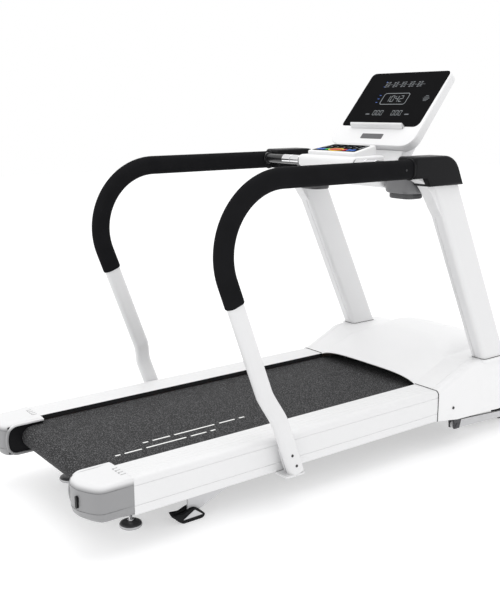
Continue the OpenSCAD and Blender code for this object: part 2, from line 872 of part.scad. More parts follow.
module roller_axles() {
    color("silver") {
        rod_x(axle_r, -beam_out + 0.5, beam_out - 0.5, rear_y, axle_z);
        rod_x(axle_r, -beam_out + 0.5, beam_out - 0.5, front_y, axle_z);
        both_sides() translate([beam_mid, rear_y - axle_r + 0.5, axle_z + 3]) rotate([90, 0, 0]) {
            cylinder(r = 4, h = 38);
            translate([0, 0, 32.5]) cylinder(r = 7.5, h = 7, $fn = 6);
        }
    }
}

module roller(len, y) {
    difference() {
        rod_x(roller_r, -len / 2, len / 2, y, axle_z, 72);
        rod_x(roller_r - 4, -len / 2 + 14, len / 2 - 14, y, axle_z);
        rod_x(axle_r + run_gap, -len / 2 - 1, len / 2 + 1, y, axle_z);
    }
}

module front_roller() {
    color("silver") roller(562, front_y);
    color("dimgray") difference() {
        rod_x(44, -pulley_x - pulley_w / 2, -pulley_x + pulley_w / 2 + 5.5, front_y, axle_z);
        rod_x(axle_r + run_gap, -pulley_x - 20, -pulley_x + 20, front_y, axle_z);
    }
}

module rear_roller() {
    color("silver") roller(562, rear_y);
}

module motor_body() {
    color("black") difference() {
        union() {
            rod_x(motor_r, -240, -30, motor_y, motor_z, 72);
            for (k = [0:11]) translate([0, motor_y, motor_z]) rotate([30 * k + 15, 0, 0])
                block([-225, -2, motor_r - 1], [-45, 2, motor_r + 4]);
            block([-220, motor_y - 34, 140], [-50, motor_y + 34, 162]);
        }
        rod_x(motor_r - 8, -228, -42, motor_y, motor_z);
        rod_x(8.5 + run_gap, -250, -20, motor_y, motor_z);
    }
}

module motor_rotor() {
    color("silver") union() {
        rod_x(8.5, -302, -8, motor_y, motor_z);
        rod_x(40, -220, -50, motor_y, motor_z);
        rod_x(22, -pulley_x - pulley_w / 2, -pulley_x + pulley_w / 2, motor_y, motor_z);
        rod_x(66, -24, -10, motor_y, motor_z);
    }
}

// Ribbed belt from the motor pulley to the front roller's pulley
module drive_belt() {
    d = [motor_y - front_y, motor_z - axle_z];
    len = norm(d);
    tilt = atan2(d[1], d[0]);
    lean = asin((44 - 22) / len);
    color("black") translate([-pulley_x - pulley_w / 2 + 1, front_y, axle_z]) rotate([90, 0, 90])
        rotate(tilt) linear_extrude(pulley_w - 2) difference() {
            drive_outline(44 + 3.4, 22 + 3.4, len, lean);
            drive_outline(44 + 0.4, 22 + 0.4, len, lean);
        }
}

module drive_outline(r0, r1, len, lean) {
    polygon(concat(arc([0, 0], r0, 90 - lean, 270 + lean, 30),
                   arc([len, 0], r1, lean - 90, 90 - lean, 24)));
}

module motor_controller() {
    color("dimgray") {
        block([130, 760, 136], [290, 930, 140]);
        for (i = [0:9]) block([136 + i * 15, 770, 140], [140 + i * 15, 850, 176]);
        block([140, 862, 140], [280, 922, 168]);
    }
}

module mains_inlet() {
    color("black") difference() {
        block([-258, y_front - 34, 140], [-142, y_front - 6, 180]);
        block([-252, y_front - 26, 146], [-204, y_front, 174]);
        block([-185.4, y_front - 30, 142.9], [-154.6, y_front, 177.9]);
    }
    color("silver") for (x = [-242, -228, -214])
        block([x - 1, y_front - 26, 154], [x + 1, y_front - 12, 166]);
}

module power_switch() {
    color("red") difference() {
        slab_x([[y_front - 24, 148], [y_front - 7, 146], [y_front - 10, 160], [y_front - 3, 174],
                [y_front - 24, 172]], -185, -155);
        rod_x(2, -190, -150, y_front - 20, 160);
    }
}

// ---- feet, struts, lift frame ---------------------------------------------

module foot() {
    translate([foot_x, foot_y, 0]) {
        cylinder(r = foot_r - 1, h = 4);
        translate([0, 0, 3.99]) cylinder(r1 = foot_r, r2 = foot_r, h = foot_h - 7);
        translate([0, 0, foot_h - 3.1]) cylinder(r1 = foot_r - 1, r2 = foot_r - 5, h = 3.1);
        cylinder(r = 9, h = foot_h + 8, $fn = 6);
        cylinder(r = 6, h = foot_bar_z + 14);
    }
}

module foot_right() {
    color("silver") foot();
}

module foot_left() {
    color("silver") mirror([1, 0, 0]) foot();
}

// Tapered strut from the frame down to the shoe's pin
module support_struts() {
    color("lightgray") both_sides() {
        slab_x(concat([[shoe_y - 14, 129.7], [shoe_y - 12, shoe_z]], arc([shoe_y, shoe_z], 12, 180, 290, 5),
                      [[strut_front, 121], [strut_front, 129.7]]), shoe_x - 4, shoe_x + 4);
        rod_x(shoe_pin_r, shoe_x - 19, shoe_x + 19, shoe_y, shoe_z);
        block([shoe_x - 4, shoe_y - 14, 124], [shoe_x + 26, strut_front, 129.8]);
    }
}

// Rubber shoe that swivels on the strut's pin
module shoe() {
    difference() {
        slab_x([[-717, 37], [-706, 16], [-690, 4], [-682, 0], [-611, 0], [-603, 4], [-598, 13], [-612, 27],
                [-627, 39], [-640, 45], [-656, 42], [-682, 33]], shoe_x - 20, shoe_x + 20);
        block([shoe_x - 6, -694, 12], [shoe_x + 6, -590, 60]);
        rod_x(shoe_pin_r + run_gap, shoe_x - 30, shoe_x + 30, shoe_y, shoe_z);
    }
}

module shoe_right() {
    color("black") shoe();
}

module shoe_left() {
    color("black") mirror([1, 0, 0]) shoe();
}

// Swinging frame that raises the front on its wheels
module lift_frame() {
    color("lightgray") {
        difference() {
            union() {
                both_sides() difference() {
                    slab_x(concat(arc([lift_y, lift_z], 17, 90, 270, 8),
                                  [[wheel_y, wheel_r - 13], [wheel_y + 12, wheel_r - 8],
                                   [wheel_y + 12, wheel_r + 8], [wheel_y, wheel_r + 13]]),
                           lift_x - arm_t / 2, lift_x + arm_t / 2);
                    rod_x(lift_pin_r + run_gap, lift_x - 20, lift_x + 20, lift_y, lift_z);
                }
                box_tube_x(-lift_x + arm_t / 2 - 0.1, lift_x - arm_t / 2 + 0.1, 690, 716, 40, 66, 3);
                for (x = [act_x - 20, act_x + 14]) slab_x([[700, 42], [774, 60], [774, 88], [744, 90],
                    [700, 65]], x, x + 6);
                rod_x(5, act_x - 20, act_x + 20, act_y, act_z);
                both_sides() {
                    rod_x(wheel_axle_r, wheel_x - wheel_w / 2 - 6, lift_x - arm_t / 2 + 1, wheel_y, wheel_r);
                    rod_x(10, wheel_x - wheel_w / 2 - 6, wheel_x - wheel_w / 2 - 1, wheel_y, wheel_r);
                    rod_x(10, wheel_x + wheel_w / 2 + 1, lift_x - arm_t / 2 + 1, wheel_y, wheel_r);
                }
            }
        }
    }
}

module wheel() {
    difference() {
        rod_x(wheel_r, wheel_x - wheel_w / 2, wheel_x + wheel_w / 2, wheel_y, wheel_r);
        rod_x(wheel_axle_r + run_gap, wheel_x - 20, wheel_x + 20, wheel_y, wheel_r);
        rod_x(24, wheel_x - wheel_w / 2 - 1, wheel_x - wheel_w / 2 + 3, wheel_y, wheel_r);
    }
}

module wheel_right() {
    color("black") wheel();
}

module wheel_left() {
    color("black") mirror([1, 0, 0]) wheel();
}

module act_axis() {
    translate([act_x, act_y, act_z]) rotate([-act_lean, 0, 0]) children();
}

module actuator_body() {
    color("dimgray") {
        act_axis() translate([0, 0, 70]) difference() {
            cylinder(r = 22, h = 110);
            translate([0, 0, -1]) cylinder(r = 11.1, h = 104);
        }
        act_axis() translate([0, 0, 160]) {
            translate([-26, -24, 0]) cube([52, 48, 30]);
            translate([0, 46, -60]) cylinder(r = 20, h = 90);
        }
        act_axis() translate([-40, 0, act_len]) rotate([0, 90, 0]) cylinder(r = 6, h = 80);
        act_axis() translate([-12, -12, 188]) cube([24, 24, 24]);
    }
}

module actuator_rod() {
    color("silver") act_axis() difference() {
        union() {
            cylinder(r = 11, h = 160);
            translate([-12, 0, 0]) rotate([0, 90, 0]) cylinder(r = 15, h = 24);
        }
        translate([-20, 0, 0]) rotate([0, 90, 0]) cylinder(r = 9, h = 40);
    }
}

module fasteners() {
    color("black") both_sides() {
        for (z = [197, 157]) {
            rod_x(4, 416, hand_x + jog + tube_t / 2 + 1, bolt_y(z), z);
            rod_x(7, hand_x + jog + tube_t / 2 + 0.1, hand_x + jog + tube_t / 2 + 4, bolt_y(z), z);
        }
        rod_x(2.8, cover_out - 16, cover_out, screw_y, screw_z);
        rod_x(6, cover_out - 1.4, cover_out + 2.2, screw_y, screw_z);
        rod_x(3, hand_x + tube_t / 2 + 0.5, hand_x + tube_t / 2 + grip_t + 0.6, grip_screw_y, hand_z);
        for (z = mast_bolt_z) {
            rod_x(4.8, beam_out - 15, beam_out + 8, mast_mid(z), z);
            rod_x(9, beam_out - 15, beam_out - 8.1, mast_mid(z), z);
        }
    }
}

deck_frame();
front_frame();
deck_board();
deck_cushions();
running_belt();
rail_left();
rail_right();
end_cap_left();
end_cap_right();
hood();
side_cover_left();
side_cover_right();
belly_pan();
mast_left();
mast_right();
mast_cap_left();
mast_cap_right();
handrail_left();
handrail_right();
grip_left();
grip_right();
handrail_feet();
crossbar();
pulse_plates();
cross_beam();
console_tray();
cup_holders();
pod_housing();
keypad();
console_shell();
console_bezel();
display();
reading_shelf();
roller_axles();
motor_body();
drive_belt();
motor_controller();
support_struts();
mains_inlet();
fasteners();
actuator_body();
front_roller();
rear_roller();
motor_rotor();
lift_frame();
wheel_left();
wheel_right();
actuator_rod();
foot_left();
foot_right();
shoe_left();
shoe_right();
key_incline_down();
key_incline_up();
key_start();
key_stop();
key_pause();
key_speed_down();
key_speed_up();
power_switch();
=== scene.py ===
"""Looks of a motor-driven rehabilitation treadmill with long curved handrails.

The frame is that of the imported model: X across the machine, +Y towards the console, +Z up, origin on the
floor under the middle of the machine. Shapes are in millimetres; materials and the setting are in metres.
"""

import json
import logging
import math
from dataclasses import dataclass, field
from enum import Enum
from typing import Iterable, Sequence

import bpy
import numpy as np
from mathutils import Matrix, Vector


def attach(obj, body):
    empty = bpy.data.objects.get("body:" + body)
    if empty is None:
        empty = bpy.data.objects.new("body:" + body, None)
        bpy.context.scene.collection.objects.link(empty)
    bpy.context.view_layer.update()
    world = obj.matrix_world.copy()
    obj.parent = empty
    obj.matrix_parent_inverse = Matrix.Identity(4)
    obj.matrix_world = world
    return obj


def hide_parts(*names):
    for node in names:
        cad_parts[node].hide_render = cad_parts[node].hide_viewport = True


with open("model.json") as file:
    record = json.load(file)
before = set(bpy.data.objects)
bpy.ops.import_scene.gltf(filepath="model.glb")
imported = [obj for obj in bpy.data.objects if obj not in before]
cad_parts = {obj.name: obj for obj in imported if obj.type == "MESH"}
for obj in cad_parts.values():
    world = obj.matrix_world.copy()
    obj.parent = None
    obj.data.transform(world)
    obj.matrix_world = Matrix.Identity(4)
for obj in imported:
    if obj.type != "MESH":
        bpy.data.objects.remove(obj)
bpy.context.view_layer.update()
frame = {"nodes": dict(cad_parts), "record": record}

LOG = logging.getLogger("treadmill")
MM = 0.001
Array = np.ndarray


class Side(Enum):
    """The two sides of the machine, as the sign of X."""

    LEFT = -1
    RIGHT = 1

    @property
    def word(self) -> str:
        """The side's name in lower case."""
        return self.name.lower()


# ---- shader maths ----------------------------------------------------------


class Value:
    """A node socket that answers to Python's arithmetic by adding Math nodes."""

    def __init__(self, graph: "Graph", socket: bpy.types.NodeSocket) -> None:
        """Keep the graph and the socket that this value comes from."""
        self.graph = graph
        self.socket = socket

    def _math(self, operation: str, *others: "Value | float") -> "Value":
        """Add one Math node that works on this value and the others."""
        return self.graph.node("ShaderNodeMath", {"operation": operation}, [self, *others])

    def __add__(self, other: "Value | float") -> "Value":
        """Sum."""
        return self._math("ADD", other)

    __radd__ = __add__

    def __mul__(self, other: "Value | float") -> "Value":
        """Product."""
        return self._math("MULTIPLY", other)

    __rmul__ = __mul__

    def __sub__(self, other: "Value | float") -> "Value":
        """Difference."""
        return self._math("SUBTRACT", other)

    def __rsub__(self, other: float) -> "Value":
        """Difference with the number first."""
        return self.graph.node("ShaderNodeMath", {"operation": "SUBTRACT"}, [other, self])

    def __truediv__(self, other: "Value | float") -> "Value":
        """Quotient."""
        return self._math("DIVIDE", other)

    def __gt__(self, other: "Value | float") -> "Value":
        """One where this value is the greater, else zero."""
        return self._math("GREATER_THAN", other)

    def __lt__(self, other: "Value | float") -> "Value":
        """One where this value is the smaller, else zero."""
        return self._math("LESS_THAN", other)

    def __abs__(self) -> "Value":
        """Size without sign."""
        return self._math("ABSOLUTE")

    def sin(self) -> "Value":
        """Sine of this value in radians."""
        return self._math("SINE")

    def largest(self, other: "Value | float") -> "Value":
        """The greater of two values."""
        return self._math("MAXIMUM", other)

    def between(self, low: float, high: float) -> "Value":
        """One between two limits, else zero."""
        return (self > low) * (self < high)


class Graph:
    """The nodes of one material."""

    def __init__(self, name: str) -> None:
        """Start a material with a Principled shader in it."""
        self.material = bpy.data.materials.new(name)
        self.material.use_nodes = True
        self.nodes = self.material.node_tree.nodes
        self.links = self.material.node_tree.links
        self.shader = self.nodes["Principled BSDF"]

    def node(self, kind: str, settings: dict, inputs: "Sequence | dict", out: "int | str" = 0) -> Value:
        """Add one node.

        Args:
            kind: The node's type.
            settings: Its properties; "stops" sets a colour ramp's stops.
            inputs: Values or links of its sockets, by place or by name.
            out: The output socket that is wanted.

        Returns:
            The wanted output.
        """
        made = self.nodes.new(kind)
        for key, value in settings.items():
            if key == "stops":
                ramp = made.color_ramp.elements
                while len(ramp) < len(value):
                    ramp.new(0.5)
                for stop, (place, colour) in zip(ramp, value):
                    stop.position = place
                    stop.color = colour
            else:
                setattr(made, key, value)
        pairs = inputs.items() if isinstance(inputs, dict) else enumerate(inputs)
        for key, value in pairs:
            self.feed(made.inputs[key], value)
        return Value(self, made.outputs[out])

    def feed(self, socket: bpy.types.NodeSocket, value: "Value | float | Sequence") -> None:
        """Link a value to a socket, or set the socket's own number or colour."""
        if isinstance(value, Value):
            self.links.new(value.socket, socket)
        else:
            socket.default_value = value

    def mix(self, factor: "Value | float", first: "Value | Sequence", second: "Value | Sequence") -> Value:
        """Blend two colours by a factor."""
        made = self.nodes.new("ShaderNodeMix")
        made.data_type = "RGBA"
        self.feed(made.inputs["Factor"], factor)
        for place, value in ((6, first), (7, second)):
            self.feed(made.inputs[place], value)
        return Value(self, made.outputs[2])

    def place(self) -> Value:
        """The point on the surface, in Object coordinates."""
        return self.node("ShaderNodeTexCoord", {}, [], "Object")

    def stretched(self, scale: Sequence[float]) -> Value:
        """The point on the surface, scaled along each axis."""
        return self.node("ShaderNodeMapping", {}, {"Vector": self.place(), "Scale": tuple(scale)})

    def noise(self, scale: float, detail: float, where: "Value | None" = None) -> Value:
        """Noise from zero to one, in features of about 1/scale metres."""
        return self.node(
            "ShaderNodeTexNoise", {}, {"Vector": where or self.place(), "Scale": scale, "Detail": detail}
        )

    def axes(self) -> "tuple[Value, Value, Value]":
        """The three coordinates of the point, one by one."""
        split = self.nodes.new("ShaderNodeSeparateXYZ")
        self.links.new(self.place().socket, split.inputs[0])
        return tuple(Value(self, split.outputs[i]) for i in range(3))

    def bump(self, height: Value, strength: float, distance: float) -> None:
        """Raise the surface's normal by a height."""
        made = self.node(
            "ShaderNodeBump", {}, {"Height": height, "Strength": strength, "Distance": distance}
        )
        self.feed(self.shader.inputs["Normal"], made)

    def set(self, **sockets: "Value | float | Sequence") -> None:
        """Set or link sockets of the Principled shader, with _ for a space in a name."""
        for key, value in sockets.items():
            self.feed(self.shader.inputs[key.replace("_", " ")], value)


def rgba(colour: Sequence[float], shift: float = 0.0) -> "tuple[float, ...]":
    """A colour with its alpha, made lighter or darker by a share of itself."""
    return (*(min(1.0, c * (1 + shift)) for c in colour), 1.0)


# ---- finishes --------------------------------------------------------------


@dataclass(frozen=True)
class Coat:
    """Powder coat or paint: fine orange peel, a little unevenness in colour and gloss."""

    colour: "tuple[float, float, float]"
    rough: float = 0.34
    metal: float = 0.0
    peel: float = 0.12
    mottle: float = 0.025

    def build(self, name: str) -> bpy.types.Material:
        """Make the material."""
        g = Graph(name)
        broad = g.noise(7.0, 3.0)
        fine = g.noise(900.0, 2.0)
        g.set(
            Base_Color=g.mix(broad, rgba(self.colour, -self.mottle), rgba(self.colour, self.mottle)),
            Roughness=self.rough + (fine - 0.5) * 0.1 + (broad - 0.5) * 0.08,
            Metallic=self.metal,
        )
        g.bump(fine, self.peel, 0.0004)
        return g.material


@dataclass(frozen=True)
class Moulded:
    """Moulded plastic: a spark-eroded grain, faint flow marks and a soft sheen."""

    colour: "tuple[float, float, float]"
    rough: float = 0.42
    grain: float = 0.18
    size: float = 1400.0
    mottle: float = 0.02
    coat: float = 0.0
    shine: float = 0.5

    def build(self, name: str) -> bpy.types.Material:
        """Make the material."""
        g = Graph(name)
        flow = g.noise(5.0, 4.0)
        cells = g.node(
            "ShaderNodeTexVoronoi", {}, {"Vector": g.place(), "Scale": self.size}, "Distance"
        )
        g.set(
            Base_Color=g.mix(flow, rgba(self.colour, -self.mottle), rgba(self.colour, self.mottle)),
            Roughness=self.rough + (flow - 0.5) * 0.1 + (cells - 0.4) * 0.06,
            Coat_Weight=self.coat,
            Coat_Roughness=0.12,
            Specular_IOR_Level=self.shine,
        )
        g.bump(cells, self.grain, 0.0003)
        return g.material


@dataclass(frozen=True)
class TwoTone:
    """Grey moulded plastic with a painted top light: the colour turns pale between two heights, standing in
    for the overhead light on its top.
    """

    colour: "tuple[float, float, float]"
    top: "tuple[float, float, float]"
    low: float
    high: float
    rough: float = 0.38

    def build(self, name: str) -> bpy.types.Material:
        """Make the material; the share of the pale top colour, a painted top light, is (z - low) / (high -
        low).
        """
        g = Graph(name)
        _, _, z = g.axes()
        flow = g.noise(6.0, 4.0)
        cells = g.node("ShaderNodeTexVoronoi", {}, {"Vector": g.place(), "Scale": 1400.0}, "Distance")
        # painted top light: the colour turns pale towards the top, where the overhead light falls
        share = g.node("ShaderNodeMapRange", {"interpolation_type": "SMOOTHSTEP"},
                       {"Value": z + (flow - 0.5) * 0.003, "From Min": self.low, "From Max": self.high})
        g.set(
            Base_Color=g.mix(share, rgba(self.colour), rgba(self.top)),
            Roughness=self.rough + (flow - 0.5) * 0.1,
        )
        g.bump(cells, 0.1, 0.0003)
        return g.material


@dataclass(frozen=True)
class Rubber:
    """Rubber or grip foam: matt, with a pebbled skin and dusty high spots."""

    colour: "tuple[float, float, float]"
    rough: float = 0.55
    pebble: float = 700.0
    dust: float = 0.35

    def build(self, name: str) -> bpy.types.Material:
        """Make the material."""
        g = Graph(name)
        cells = g.node(
            "ShaderNodeTexVoronoi", {"feature": "SMOOTH_F1"}, {"Vector": g.place(),
                                                               "Scale": self.pebble}, "Distance"
        )
        cloud = g.noise(16.0, 5.0)
        g.set(
            Base_Color=g.mix(cloud, rgba(self.colour, -self.dust), rgba(self.colour, self.dust)),
            Roughness=self.rough + (cloud - 0.5) * 0.16,
            Specular_IOR_Level=0.05,
            IOR=1.15,
        )
        g.bump(cells, 0.3, 0.0004)
        return g.material


@dataclass(frozen=True)
class Metal:
    """Bare metal: fine streaks along one axis, cloudy gloss."""

    colour: "tuple[float, float, float]"
    rough: float = 0.26
    streak: "tuple[float, float, float]" = (4.0, 900.0, 900.0)
    depth: float = 0.1

    def build(self, name: str) -> bpy.types.Material:
        """Make the material."""
        g = Graph(name)
        lines = g.noise(1.0, 3.0, g.stretched(self.streak))
        cloud = g.noise(24.0, 4.0)
        g.set(
            Base_Color=g.mix(cloud, rgba(self.colour, -0.08), rgba(self.colour, 0.04)),
            Metallic=1.0,
            Roughness=self.rough + (lines - 0.5) * 0.22 + (cloud - 0.5) * 0.1,
        )
        g.bump(lines, self.depth, 0.0003)
        return g.material


@dataclass(frozen=True)
class Laminate:
    """Phenolic-faced plywood: brown faces with long grain, darker glue lines on the edges."""

    colour: "tuple[float, float, float]"

    def build(self, name: str) -> bpy.types.Material:
        """Make the material."""
        g = Graph(name)
        grain = g.noise(1.0, 6.0, g.stretched((90.0, 3.0, 90.0)))
        _, _, z = g.axes()
        plies = ((z * 2400.0).sin() > 0.6) * 0.5
        g.set(
            Base_Color=g.mix(
                (grain * 0.8 + plies).largest(0.0), rgba(self.colour, 0.1), rgba(self.colour, -0.5)
            ),
            Roughness=0.5 + (grain - 0.5) * 0.2,
        )
        g.bump(grain, 0.2, 0.0004)
        return g.material


@dataclass(frozen=True)
class Walking:
    """Running surface: black PVC with a diamond texture, pale flecks and painted dashes."""

    colour: "tuple[float, float, float]" = (0.042, 0.042, 0.043)
    fleck: "tuple[float, float, float]" = (0.2, 0.2, 0.205)
    paint: "tuple[float, float, float]" = (0.86, 0.86, 0.85)
    pitch: float = 1250.0
    line: float = 0.0038
    rows: "tuple[tuple[float, tuple[tuple[float, float], ...]], ...]" = (
        (0.131, ((-0.718, -0.698), (-0.681, -0.613), (-0.596, -0.431), (-0.410, -0.343), (-0.324, -0.301))),
        (0.175, ((-0.845, -0.826), (-0.811, -0.747), (-0.730, -0.575), (-0.557, -0.494), (-0.476, -0.456))),
    )
    top: float = 0.2

    def build(self, name: str) -> bpy.types.Material:
        """Make the material; the dashes are bands in X cut into stretches in Y."""
        g = Graph(name)
        x, y, z = g.axes()
        flecks = g.noise(240.0, 3.0)
        worn = g.noise(5.0, 3.0)
        diamond = ((x + y) * self.pitch).sin() * ((x - y) * self.pitch).sin()
        speckle = (flecks > 0.57) * 0.6
        base = g.mix(speckle, rgba(self.colour), rgba(self.fleck))
        dashes: "Value | None" = None
        for middle, stretches in self.rows:
            band = abs(x - middle) < self.line
            along: "Value | None" = None
            for low, high in stretches:
                here = y.between(low, high)
                along = here if along is None else along + here
            row = band * along
            dashes = row if dashes is None else dashes + row
        dashes = dashes * (z > self.top)
        g.set(
            Base_Color=g.mix(dashes, base, rgba(self.paint)),
            Roughness=0.46 + (worn - 0.5) * 0.14 + speckle * 0.1,
            Specular_IOR_Level=0.1,
            IOR=1.12,
        )
        g.bump(diamond * 0.5 + flecks, 0.35, 0.0006)
        return g.material


@dataclass(frozen=True)
class Lit:
    """Printed or lit mark on a dark panel: pale, with a faint glow."""

    colour: "tuple[float, float, float]"
    glow: float = 0.25

    def build(self, name: str) -> bpy.types.Material:
        """Make the material."""
        g = Graph(name)
        print_grain = g.noise(1500.0, 1.0)
        tone = g.mix(print_grain, rgba(self.colour, -0.12), rgba(self.colour, 0.05))
        g.set(Base_Color=tone, Emission_Color=tone, Emission_Strength=self.glow,
              Roughness=0.4 + print_grain * 0.1)
        return g.material


@dataclass(frozen=True)
class Glossy:
    """Dark glass or lacquer: deep colour under a clear coat, with a trace of smudging."""

    colour: "tuple[float, float, float]"
    rough: float = 0.08
    shine: float = 0.03

    def build(self, name: str) -> bpy.types.Material:
        """Make the material."""
        g = Graph(name)
        smudge = g.noise(18.0, 5.0)
        g.set(
            Base_Color=g.mix(smudge, rgba(self.colour, -0.1), rgba(self.colour, 0.15)),
            Roughness=self.rough + smudge * 0.06,
            Specular_IOR_Level=self.shine,
        )
        g.bump(smudge, 0.02, 0.0005)
        return g.material


FINISHES = {
    "white_paint": Coat((0.72, 0.72, 0.725), rough=0.34),
    "grey_paint": Coat((0.62, 0.62, 0.63), rough=0.35),
    "black_paint": Coat((0.012, 0.012, 0.013), rough=0.22),
    "frame_paint": Coat((0.05, 0.05, 0.055), rough=0.5, peel=0.3),
    "white_plastic": Moulded((0.79, 0.79, 0.795), rough=0.36, grain=0.06, coat=0.08),
    "pale_plastic": Moulded((0.72, 0.72, 0.725), rough=0.4, grain=0.12),
    # the end caps' pale top is painted top light over their grey plastic
    "cap_plastic": TwoTone((0.27, 0.27, 0.275), (0.74, 0.74, 0.745), 0.224, 0.243),
    "cup_plastic": Moulded((0.16, 0.16, 0.165), rough=0.38, grain=0.12),
    "black_plastic": Moulded((0.008, 0.008, 0.009), rough=0.32, grain=0.14, shine=0.09),
    "black_gloss": Glossy((0.009, 0.009, 0.0095), rough=0.2, shine=0.0),
    "grip_foam": Rubber((0.011, 0.011, 0.012), rough=0.42, pebble=1300.0, dust=0.2),
    "rubber": Rubber((0.02, 0.02, 0.021), rough=0.6),
    "belt_pvc": Walking(),
    "rail_alu": Coat((0.75, 0.75, 0.755), rough=0.34, peel=0.05),
    "steel": Metal((0.6, 0.6, 0.61)),
    "chrome": Metal((0.78, 0.78, 0.79), rough=0.12, depth=0.03),
    "deck_wood": Laminate((0.17, 0.09, 0.05)),
    "motor_black": Coat((0.02, 0.02, 0.022), rough=0.4, peel=0.25),
    "alloy": Metal((0.55, 0.55, 0.56), rough=0.42, streak=(300.0, 300.0, 300.0)),
    "key_blue": Moulded((0.006, 0.09, 0.42), rough=0.3, grain=0.05, shine=0.04),
    "key_green": Moulded((0.02, 0.36, 0.05), rough=0.3, grain=0.05, shine=0.04),
    "key_red": Moulded((0.5, 0.004, 0.004), rough=0.3, grain=0.05, shine=0.04),
}
EXTRA = {
    "ring_yellow": Moulded((0.72, 0.5, 0.01), rough=0.35, grain=0.05, shine=0.04),
    "mark_white": Lit((0.24, 0.26, 0.27), glow=0.04),
    "mark_grey": Lit((0.13, 0.14, 0.15), glow=0.03),
    "mark_blue": Lit((0.04, 0.12, 0.45), glow=0.1),
    "badge_silver": Metal((0.16, 0.16, 0.165), rough=0.34, streak=(900.0, 4.0, 4.0)),
    "cup_base": Moulded((0.055, 0.055, 0.058), rough=0.4, grain=0.12),
    "ink_grey": Moulded((0.3, 0.3, 0.305), rough=0.5, grain=0.1),
}


class Wardrobe:
    """Makes each finish once and hands it out by name."""

    def __init__(self) -> None:
        """Start with nothing made."""
        self.made: "dict[str, bpy.types.Material]" = {}

    def get(self, name: str) -> bpy.types.Material:
        """The material of that name, made on first use."""
        if name not in self.made:
            self.made[name] = (FINISHES | EXTRA)[name].build(name)
        return self.made[name]

    def dress_cad(self) -> None:
        """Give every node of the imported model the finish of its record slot."""
        for row in frame["record"]["subparts"]:
            mesh = frame["nodes"][row["node"]].data
            mesh.materials.clear()
            mesh.materials.append(self.get(row["material_slot"]))


WARDROBE = Wardrobe()


# ---- surfaces --------------------------------------------------------------


def arc(centre: Sequence[float], radius: float, start: float, end: float, steps: int) -> Array:
    """Points at centre + radius * (cos a, sin a), with a from start to end in degrees."""
    a = np.radians(np.linspace(start, end, steps + 1))
    return np.array(centre) + radius * np.stack([np.cos(a), np.sin(a)], 1)


def rounded(points: Sequence[Sequence[float]], radii: "float | Sequence[float]", steps: int = 5) -> Array:
    """Round the corners of a closed outline.

    Each corner c becomes the curve (1-t)^2 a + 2 t (1-t) c + t^2 b, where a and b lie on its two sides at
    the corner's radius, or at 0.49 of the side if that is shorter.

    Args:
        points: The outline's corners, anticlockwise.
        radii: One reach for all corners, or one for each.
        steps: Pieces in each rounded corner.

    Returns:
        The rounded outline's points.
    """
    p = np.asarray(points, float)
    reach = np.broadcast_to(np.asarray(radii, float), (len(p),))
    before, after = np.roll(p, 1, 0) - p, np.roll(p, -1, 0) - p
    size_b, size_a = np.linalg.norm(before, axis=1), np.linalg.norm(after, axis=1)
    a = p + before * (np.minimum(reach, 0.49 * size_b) / size_b)[:, None]
    b = p + after * (np.minimum(reach, 0.49 * size_a) / size_a)[:, None]
    t = np.linspace(0, 1, steps + 1)[None, :, None]
    curve = (1 - t) ** 2 * a[:, None] + 2 * t * (1 - t) * p[:, None] + t**2 * b[:, None]
    return curve.reshape(-1, 2)


def inset(outline: Array, distance: "float | Array") -> Array:
    """Move each point inwards along the mean normal of its two sides, mitred at a corner."""
    side = np.roll(outline, -1, 0) - outline
    size = np.maximum(np.linalg.norm(side, axis=1, keepdims=True), 1e-9)
    normal = np.stack([-side[:, 1], side[:, 0]], 1) / size
    mean = normal + np.roll(normal, 1, 0)
    length = np.maximum((mean**2).sum(1, keepdims=True) / 2, 0.3)
    return outline + mean / length * np.broadcast_to(distance, (len(outline),))[:, None]


def wrap_faces(rings: int, count: int, closed: bool = False) -> Array:
    """Quads between rings of count points each; each quad joins point i, i+1 and the next ring's."""
    last = rings if closed else rings - 1
    r, c = np.meshgrid(np.arange(last), np.arange(count), indexing="ij")
    r1, c1 = (r + 1) % rings, (c + 1) % count
    quads = np.stack([r * count + c, r * count + c1, r1 * count + c1, r1 * count + c], -1)
    return quads.reshape(-1, 4)


def stitched(rings: Array, closed: bool = False, capped: bool = True) -> "tuple[Array, list]":
    """Skin over rings of points, an (n, count, 3) array, with an n-gon at each end."""
    n, count, _ = rings.shape
    faces = wrap_faces(n, count, closed).tolist()
    if capped and not closed:
        faces.append(list(range(count))[::-1])
        faces.append([(n - 1) * count + i for i in range(count)])
    return rings.reshape(-1, 3), faces


def slab(outline: Array, low: float, high: float, edge: float, steps: int = 4,
         under: "float | None" = None) -> "tuple[Array, list]":
    """A flat piece with rounded edges.

    The outline is carried from low to high. Near each end the ring at angle a is inset by
    edge * (1 - cos a) and lies edge * (1 - sin a) from the end, with a from 0 to 90 degrees.

    Args:
        outline: Closed outline in the piece's own plane, anticlockwise.
        low: Height of the underside.
        high: Height of the top.
        edge: Radius of the rounded edges.
        steps: Pieces in each rounded edge.
        under: Radius of the underside's edges, if it isn't edge.

    Returns:
        Vertices and faces.
    """
    a = np.radians(np.linspace(0, 90, steps + 1))
    foot = edge if under is None else under
    heights = np.concatenate([[low], low + foot * (1 - np.sin(a[::-1])), high - edge * (1 - np.sin(a)),
                              [high]])
    insets = np.concatenate([[foot + min(0.4, 0.3 * foot)], foot * (1 - np.cos(a[::-1])),
                             edge * (1 - np.cos(a)),
                             [edge + min(0.4, 0.3 * edge)]])
    rings = [np.column_stack([inset(outline, d), np.full(len(outline), h)]) for h, d in zip(heights, insets)]
    return stitched(np.array(rings))


def carried(profile: Array, centres: Array, first: Array, second: Array, closed: bool = False,
            capped: bool = True) -> "tuple[Array, list]":
    """A profile carried along a path: each point is centre + u * first + v * second."""
    rings = (
        centres[:, None]
        + profile[None, :, :1] * first[:, None]
        + profile[None, :, 1:] * second[:, None]
    )
    return stitched(rings, closed, capped)


